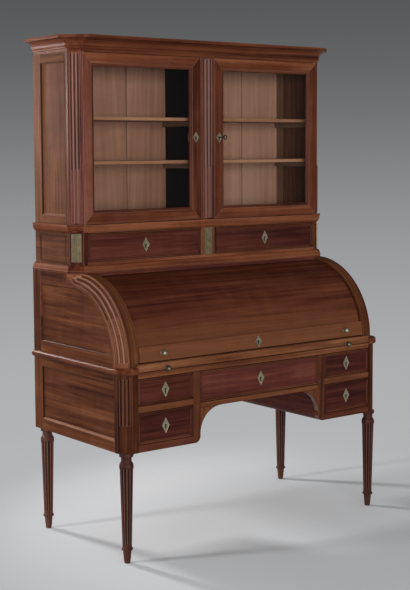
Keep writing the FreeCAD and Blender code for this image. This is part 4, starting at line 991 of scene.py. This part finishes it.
# Bookcase
# Canted corner posts and a fixed centre post, fluted like the rest, stand between a floor and a roof of
# canted boards; framed sides, a partition, two rows of shelves on cleats, and a back of upright planks.
# Lilac rub tint for the posts: partly wear, partly a painted sheen, as are their lightened lands; the left door's
# outer stile shares it.
post_wood = polished_wood("mahogany_posts", [
    (0.036, 0.0090, 0.0062), (0.082, 0.0235, 0.0140), (0.130, 0.0420, 0.0255), (0.195, 0.0740, 0.0490)],
    wear_and_painted_light=0.6, rub_and_sheen_tint=(0.330, 0.190, 0.165))
post_low, post_high, flute_low, flute_high, reed_high = 1.298, 1.988, 1.310, 1.976, 1.518
upper_inner, upper_rear, centre_half, centre_deep, upper_lands = 0.630, 0.0885, 0.036, 0.024, 0.6
upper = Work("upper_posts")
for way in (-1, 1):
    plan = canted(way, upper_inner, book_half, book_front, book_cant, upper_rear)
    fluted_post(upper, plan, 1, post_low, post_high, flute_low, flute_high, upper_lands)
plan = [(-centre_half, book_front), (centre_half, book_front), (centre_half, book_front + centre_deep),
        (-centre_half, book_front + centre_deep)]
fluted_post(upper, plan, 0, post_low, post_high, flute_low, flute_high, upper_lands)
upper.done("upper_posts_wood", [post_wood], "upper_posts")
reed_girth, reed_set = 0.0043, 0.0012
post_reeds = []
for way in (-1, 0, 1):
    for share in (0.25, 0.5, 0.75):
        x, y = 2 * centre_half * (share - 0.5), book_front + reed_set
        if way:
            sunk = reed_set * math.sqrt(0.5)
            x, y = way * (book_half - book_cant + book_cant * share - sunk), book_front + book_cant * share + sunk
        post_reeds.append([((x, y, height), girth) for height, girth in reed_steps(flute_low, reed_high, reed_girth)])
reeds("upper_post_reeds", post_reeds, reed_girth, post_wood)

pale_boards = polished_wood("back_planks", [
    (0.215, 0.100, 0.060), (0.290, 0.141, 0.088), (0.359, 0.187, 0.122), (0.428, 0.237, 0.164)],
    streak=0.9, gloss=(0.5, 0.66))
shelf_wood = polished_wood("shelf_boards", [
    (0.200, 0.090, 0.045), (0.270, 0.130, 0.070), (0.340, 0.175, 0.100), (0.410, 0.220, 0.140)],
    streak=1.0, gloss=(0.4, 0.6))
# Near-black finish for the partition: painted shade on the partition seen through the left door.
partition_shade = polished_wood("partition_painted_shade", [
    (0.003, 0.001, 0.0015), (0.005, 0.0015, 0.0025), (0.008, 0.0025, 0.004), (0.012, 0.004, 0.006)],
    streak=1.0, wear_and_painted_light=0.1, shine=0.02)
beaded_sides("upper_side_panels", upright, 0.0, (-0.1, -0.5, -1.0, 0.2))
framing = Work("upper_side_frames")
boards(framing, "upper_side_frames")
inside, rear_stile = min(abs(x) for x, y, z in framing.points) + 0.0005, 0.25
framing.refinish(1, lambda corners, wear_and_painted_light: max(abs(spot.x) for spot in corners) < inside
                 and min(spot.y for spot in corners) > rear_stile)
framing.done("upper_side_frames_wood", [upright, plain], "upper_side_frames")
for node, finish in (("case_boards", mahogany), ("upper_partition", partition_shade), ("shelves", shelf_wood)):
    built(node, [finish])
plank_tones = (-0.6, -0.2, -0.4, 1.7, 2.0, 2.2)
built("upper_back", [pale_boards], slot="plain_boards", ease=0.0025, tone=lambda number: plank_tones[number],
      wear=(0.0, -0.9))
built("shelf_cleats", [plain], slot="plain_boards", wear=(0.0, -0.9))
low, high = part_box("upper_back")
facing_back, floor_rail = (-math.pi / 2, 0.0, 0.0), 1.292
screws = []
for plank in range(len(plank_tones)):
    for side in (0.2, 0.8):
        x = low.x + (high.x - low.x) * (plank + side) / len(plank_tones)
        screws += [((x, high.y - 0.0008, height), facing_back)
                   for height in (low.z + 0.02, floor_rail, high.z - 0.006)]
screw = lathe([(0.0035, 0.0), (0.0034, 0.0005), (0.0022, 0.0008), (0.0018, 0.0006), (0.0004, 0.0006)], 12)
dotted("back_screws", screw, screws, iron, 4, slot="iron")


# Cornice
# A mitred mahogany cornice with a bead, a deep hollow and a top fillet, glued and blocked on the roof.
dusty = polished_wood("dusty_top", [
    (0.050, 0.0200, 0.0130), (0.094, 0.0360, 0.0220), (0.134, 0.0540, 0.0330), (0.190, 0.0840, 0.0540)],
    gloss=(0.72, 0.85), shine=0.02)
hollow_out, hollow_rise, bead_size, cornice_low, cornice_high = 0.047, 0.028, 0.011, 2.000, 0.051
profile = [(-0.026, 0.0), (0.0085, 0.0)] + arc(0.0075, 0.0045, 0.0040, 0.0045, -75, 165, 8)
profile += [(0.0085, 0.0100), (bead_size, bead_size)]
profile += [(bead_size + hollow_out * (1 - math.cos(math.radians(turn))),
             bead_size + hollow_rise * math.sin(math.radians(turn))) for turn in range(5, 91, 5)]
profile += [(0.0580, 0.0410), (0.0580, 0.0500), (0.0570, cornice_high), (-0.026, cornice_high)]
cornice_back = 0.3335
cornice_path = [(x, min(y, cornice_back)) for x, y in book_path]
top = Work("cornice")
for points, faces in mitred(cornice_path, profile, lambda x, y, rise: Vector((x, y, cornice_low + rise)),
                            spreads=[0.81, 0.72, 1.0, 0.72, 0.81]):
    lay_board(top, points, faces, 0.0005)
dust_line = cornice_low + cornice_high - 0.0005
top.refinish(1, lambda corners, wear_and_painted_light: min(spot.z for spot in corners) > dust_line)
top.done("cornice_wood", [mahogany, dusty], "cornice")


# Glazed doors
# Mitred mahogany frames with a lighter ovolo glued round the inside, one pane of old hand-made glass each,
# hung on brass pivot pins, with a lozenge over the lock.
pane, tree = blank("old_glass")
place = put(tree, "ShaderNodeTexCoord", out="Object")
wave, dust = noise(tree, place, 5.0, 1.0), noise(tree, place, 30.0, 4.0)
surface(tree, {"Base Color": ramp(tree, dust, ((0.0, (0.03, 0.04, 0.04)), (1.0, (0.06, 0.07, 0.07)))),
               "Roughness": spread(tree, dust, 0.3, 0.7, 0.02, 0.06), "Normal": bump(tree, wave, 0.12, 0.002),
               "Specular IOR Level": 0.05, "Alpha": 0.04})
door_low, door_high, door_near, door_far, door_back = 1.300, 1.986, 0.038, 0.627, 0.0605
lock_x, lock_z = 0.063, 1.649174
flat = [(0.0, 0.0), (-0.044, 0.0), (-0.044, 0.011), (-0.042, 0.011), (-0.042, 0.024), (0.0, 0.024)]
ovolo = [(-0.042, 0.011), (-0.054, 0.011), (-0.054, 0.0150)] + arc(-0.0440, 0.0150, 0.0100, 0.0078, 180, -90, 8)
ovolo += [(-0.0432, 0.0228), (-0.0432, 0.0236), (-0.042, 0.0236)]
outline = [(door_near, door_low), (door_far, door_low), (door_far, door_high), (door_near, door_high)]
for way, side in ((-1, "left"), (1, "right")):
    body = side + "_door"
    made = Work(body)
    for profile, finish in ((flat, 0), (ovolo, 1)):
        lengths = mitred(outline, profile, lambda x, z, rise: Vector((way * x, door_back - rise, z)), closed=True)
        for number, (points, faces) in enumerate(lengths):
            # The left door's outer stile takes the posts' finish: a painted sheen.
            lay_board(made, points, faces, 0.0012, 2 if (side, number, finish) == ("left", 1, 0) else finish)
    made.done(body + "_wood", [mahogany, edging, post_wood], body + "_frame", body=body)
    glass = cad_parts[body + "_glass"]
    glass.data.materials.clear()
    glass.data.materials.append(pane)
    escutcheon(body + "_lozenge", body + "_fittings", front_place(way * lock_x, book_front, lock_z), facing_front,
               wide=0.033, tall=0.046, body=body, keep=(1, 2, 3))


# Key
# A small forged key with a ring bow, two turned collars on its shank and a flat bit, standing in the
# right-hand door's lock.
key = Work("key")
key_front, bow_radius, wire, bow_steps, wire_sides = 0.0025, 0.009, 0.0020, 36, 10
key_rings = [(0.0016, 0.0), (0.0024, 0.0008), (0.0024, 0.0026), (0.0034, 0.0036), (0.0037, 0.0046), (0.0034, 0.0056),
             (0.0024, 0.0066), (0.0024, 0.0090), (0.0032, 0.0098), (0.0032, 0.0108), (0.0024, 0.0116),
             (0.0024, 0.0635), (0.0014, 0.0640)]
points, faces = lathe(key_rings, 20)
spots = [Vector((lock_x + x, key_front + z, lock_z - y)) for x, y, z in points]
key.add(spots, faces, spots)
points = []
for step in range(bow_steps):
    turn = 2 * math.pi * step / bow_steps
    for side in range(wire_sides):
        swing = 2 * math.pi * side / wire_sides
        reach = bow_radius + wire * math.cos(swing)
        points.append(Vector((lock_x + wire * math.sin(swing), key_front - bow_radius + reach * math.cos(turn),
                              lock_z + reach * math.sin(turn))))
key.add(points, [face[::-1] for face in bands(bow_steps, wire_sides, True)], points)
bit = ((-0.001, 0.0615), (0.001, 0.0615), (0.001, 0.0665), (-0.001, 0.0665))
points, faces = skin([[Vector((lock_x + x, y, lock_z + z)) for x, y in bit] for z in (-0.007, -0.001)])
lay_board(key, points, faces, 0.0003)
key_brass = metal("dark_brass", (0.030, 0.024, 0.018), (0.072, 0.057, 0.040), (0.38, 0.52), 0.2)
key.done("key_forged", [key_brass], "door_key", body="key", slot="brass")


# Studio
# A pale floor that falls away into a grey backdrop; a key lamp on the left, a small one behind the desk
# that shines under the case, and a broad soft one in front.
studio = bpy.context.scene


def shades(tree, share, levels):
    """Slightly cool greys over a share from 0 to 1."""
    return ramp(tree, share, [(spot, (level * 0.985, level, level * 1.02)) for spot, level in levels])


def background_ray(tree):
    """1 for rays that look at the background: from the camera, in a gloss or through glass."""
    rays = put(tree, "ShaderNodeLightPath").node.outputs
    either = put(tree, "ShaderNodeMath", {0: rays["Is Camera Ray"], 1: rays["Is Glossy Ray"]}, operation="MAXIMUM")
    return put(tree, "ShaderNodeMath", {0: either, 1: rays["Is Transmission Ray"]}, operation="MAXIMUM")


floor_tone, tree = blank("floor_paper")
place = put(tree, "ShaderNodeTexCoord", out="Object")
away = put(tree, "ShaderNodeVectorMath", {0: place}, "Value", operation="LENGTH")
further = put(tree, "ShaderNodeMath", {0: away, 1: 10.0}, operation="ADD")
share = put(tree, "ShaderNodeMath", {0: away, 1: further}, operation="DIVIDE")
tint = spread(tree, noise(tree, place, 1.3, 2.0), 0.3, 0.7, 0.0, 1.0)
near_paper = put(tree, "ShaderNodeBsdfPrincipled", {"Base Color": shades(tree, tint, ((0.0, 0.53), (1.0, 0.56))),
                                                    "Roughness": 0.85, "Specular IOR Level": 0.1})
# Far from the desk, rays that look at the background see the floor glow a grey that darkens with distance: painted
# light falling off.
far_tone = shades(tree, share, ((0.0, 0.50), (0.17, 0.447), (0.296, 0.423), (0.447, 0.371), (0.63, 0.314),
                                (0.861, 0.242), (1.0, 0.209)))
far_paper = put(tree, "ShaderNodeEmission", {"Color": far_tone, "Strength": 1.0})
apart = put(tree, "ShaderNodeVectorMath", {0: place, 1: (0.55, -0.55, 0.0)}, "Value", operation="DISTANCE")
fade = spread(tree, apart, 1.0, 1.95, 0.0, 1.0, interpolation_type="SMOOTHSTEP")
fade = put(tree, "ShaderNodeMath", {0: fade, 1: background_ray(tree)}, operation="MULTIPLY")
paper_mix = put(tree, "ShaderNodeMixShader", {0: fade, 1: near_paper, 2: far_paper})
put(tree, "ShaderNodeOutputMaterial", {"Surface": paper_mix})
sheet = bmesh.new()
bmesh.ops.create_circle(sheet, cap_ends=True, segments=96, radius=2000.0)
paper = bpy.data.meshes.new("floor")
sheet.to_mesh(paper)
sheet.free()
paper.materials.append(floor_tone)
floor = bpy.data.objects.new("floor", paper)
studio.collection.objects.link(floor)

world = bpy.data.worlds.new("studio")
studio.world = world
world.use_nodes = True
tree = world.node_tree
tree.nodes.clear()
rise = put(tree, "ShaderNodeSeparateXYZ", {0: put(tree, "ShaderNodeTexCoord", out="Generated")}, 2)
# The backdrop is painted darker towards the top: painted shade.
wall_tone = shades(tree, spread(tree, rise, -0.012, 0.25, 0.0, 1.0),
                   ((0.0, 0.231), (0.046, 0.209), (0.136, 0.174), (0.314, 0.125), (0.492, 0.095), (1.0, 0.06)))
ambient = put(tree, "ShaderNodeBackground", {"Color": (0.98, 0.99, 1.0, 1.0), "Strength": 0.50})
backdrop = put(tree, "ShaderNodeBackground", {"Color": wall_tone, "Strength": 1.0})
sky = put(tree, "ShaderNodeMixShader", {0: background_ray(tree), 1: ambient, 2: backdrop})
put(tree, "ShaderNodeOutputWorld", {"Surface": sky})

for name, spot, aim, size, power in (("key_lamp", (-4.0, 1.05, 2.05), (0.0, 0.0, 0.8), (0.5, 0.5), 86.0),
                                     ("rear_lamp", (-1.1, 2.5, 1.85), (0.0, -0.2, 0.0), (0.3, 0.3), 72.0),
                                     ("front_lamp", (-4.4, -9.6, 2.1), (0.0, 0.0, 1.1), (5.0, 3.0), 700.0)):
    light = bpy.data.lights.new(name, "AREA")
    light.shape, light.size, light.size_y, light.energy = "RECTANGLE", size[0], size[1], power
    stand = bpy.data.objects.new(name, light)
    stand.location = spot
    stand.rotation_euler = (Vector(aim) - Vector(spot)).to_track_quat("-Z", "Y").to_euler()
    stand.visible_camera = False
    studio.collection.objects.link(stand)

yaw, pitch, roll, photo_tall, photo_lens = 0.65217, -0.08645, -0.00543, 590, 1279.198
ahead = Vector((math.sin(yaw) * math.cos(pitch), math.cos(yaw) * math.cos(pitch), math.sin(pitch)))
side = Vector((math.cos(yaw), -math.sin(yaw), 0.0))
above = side.cross(ahead)
side, above = side * math.cos(roll) + above * math.sin(roll), above * math.cos(roll) - side * math.sin(roll)
lens = bpy.data.cameras.new("camera")
lens.sensor_width = 36.0
lens.lens = photo_lens * lens.sensor_width / photo_tall
lens.shift_x, lens.shift_y = (205 - 197.581) / photo_tall, (260.631 - 295) / photo_tall
view = bpy.data.objects.new("camera", lens)
view.matrix_world = Matrix((side, above, -ahead)).transposed().to_4x4()
view.location = (-3.37271, -4.30491, 1.59627)
studio.collection.objects.link(view)
studio.camera = view
studio.view_settings.view_transform = "Standard"
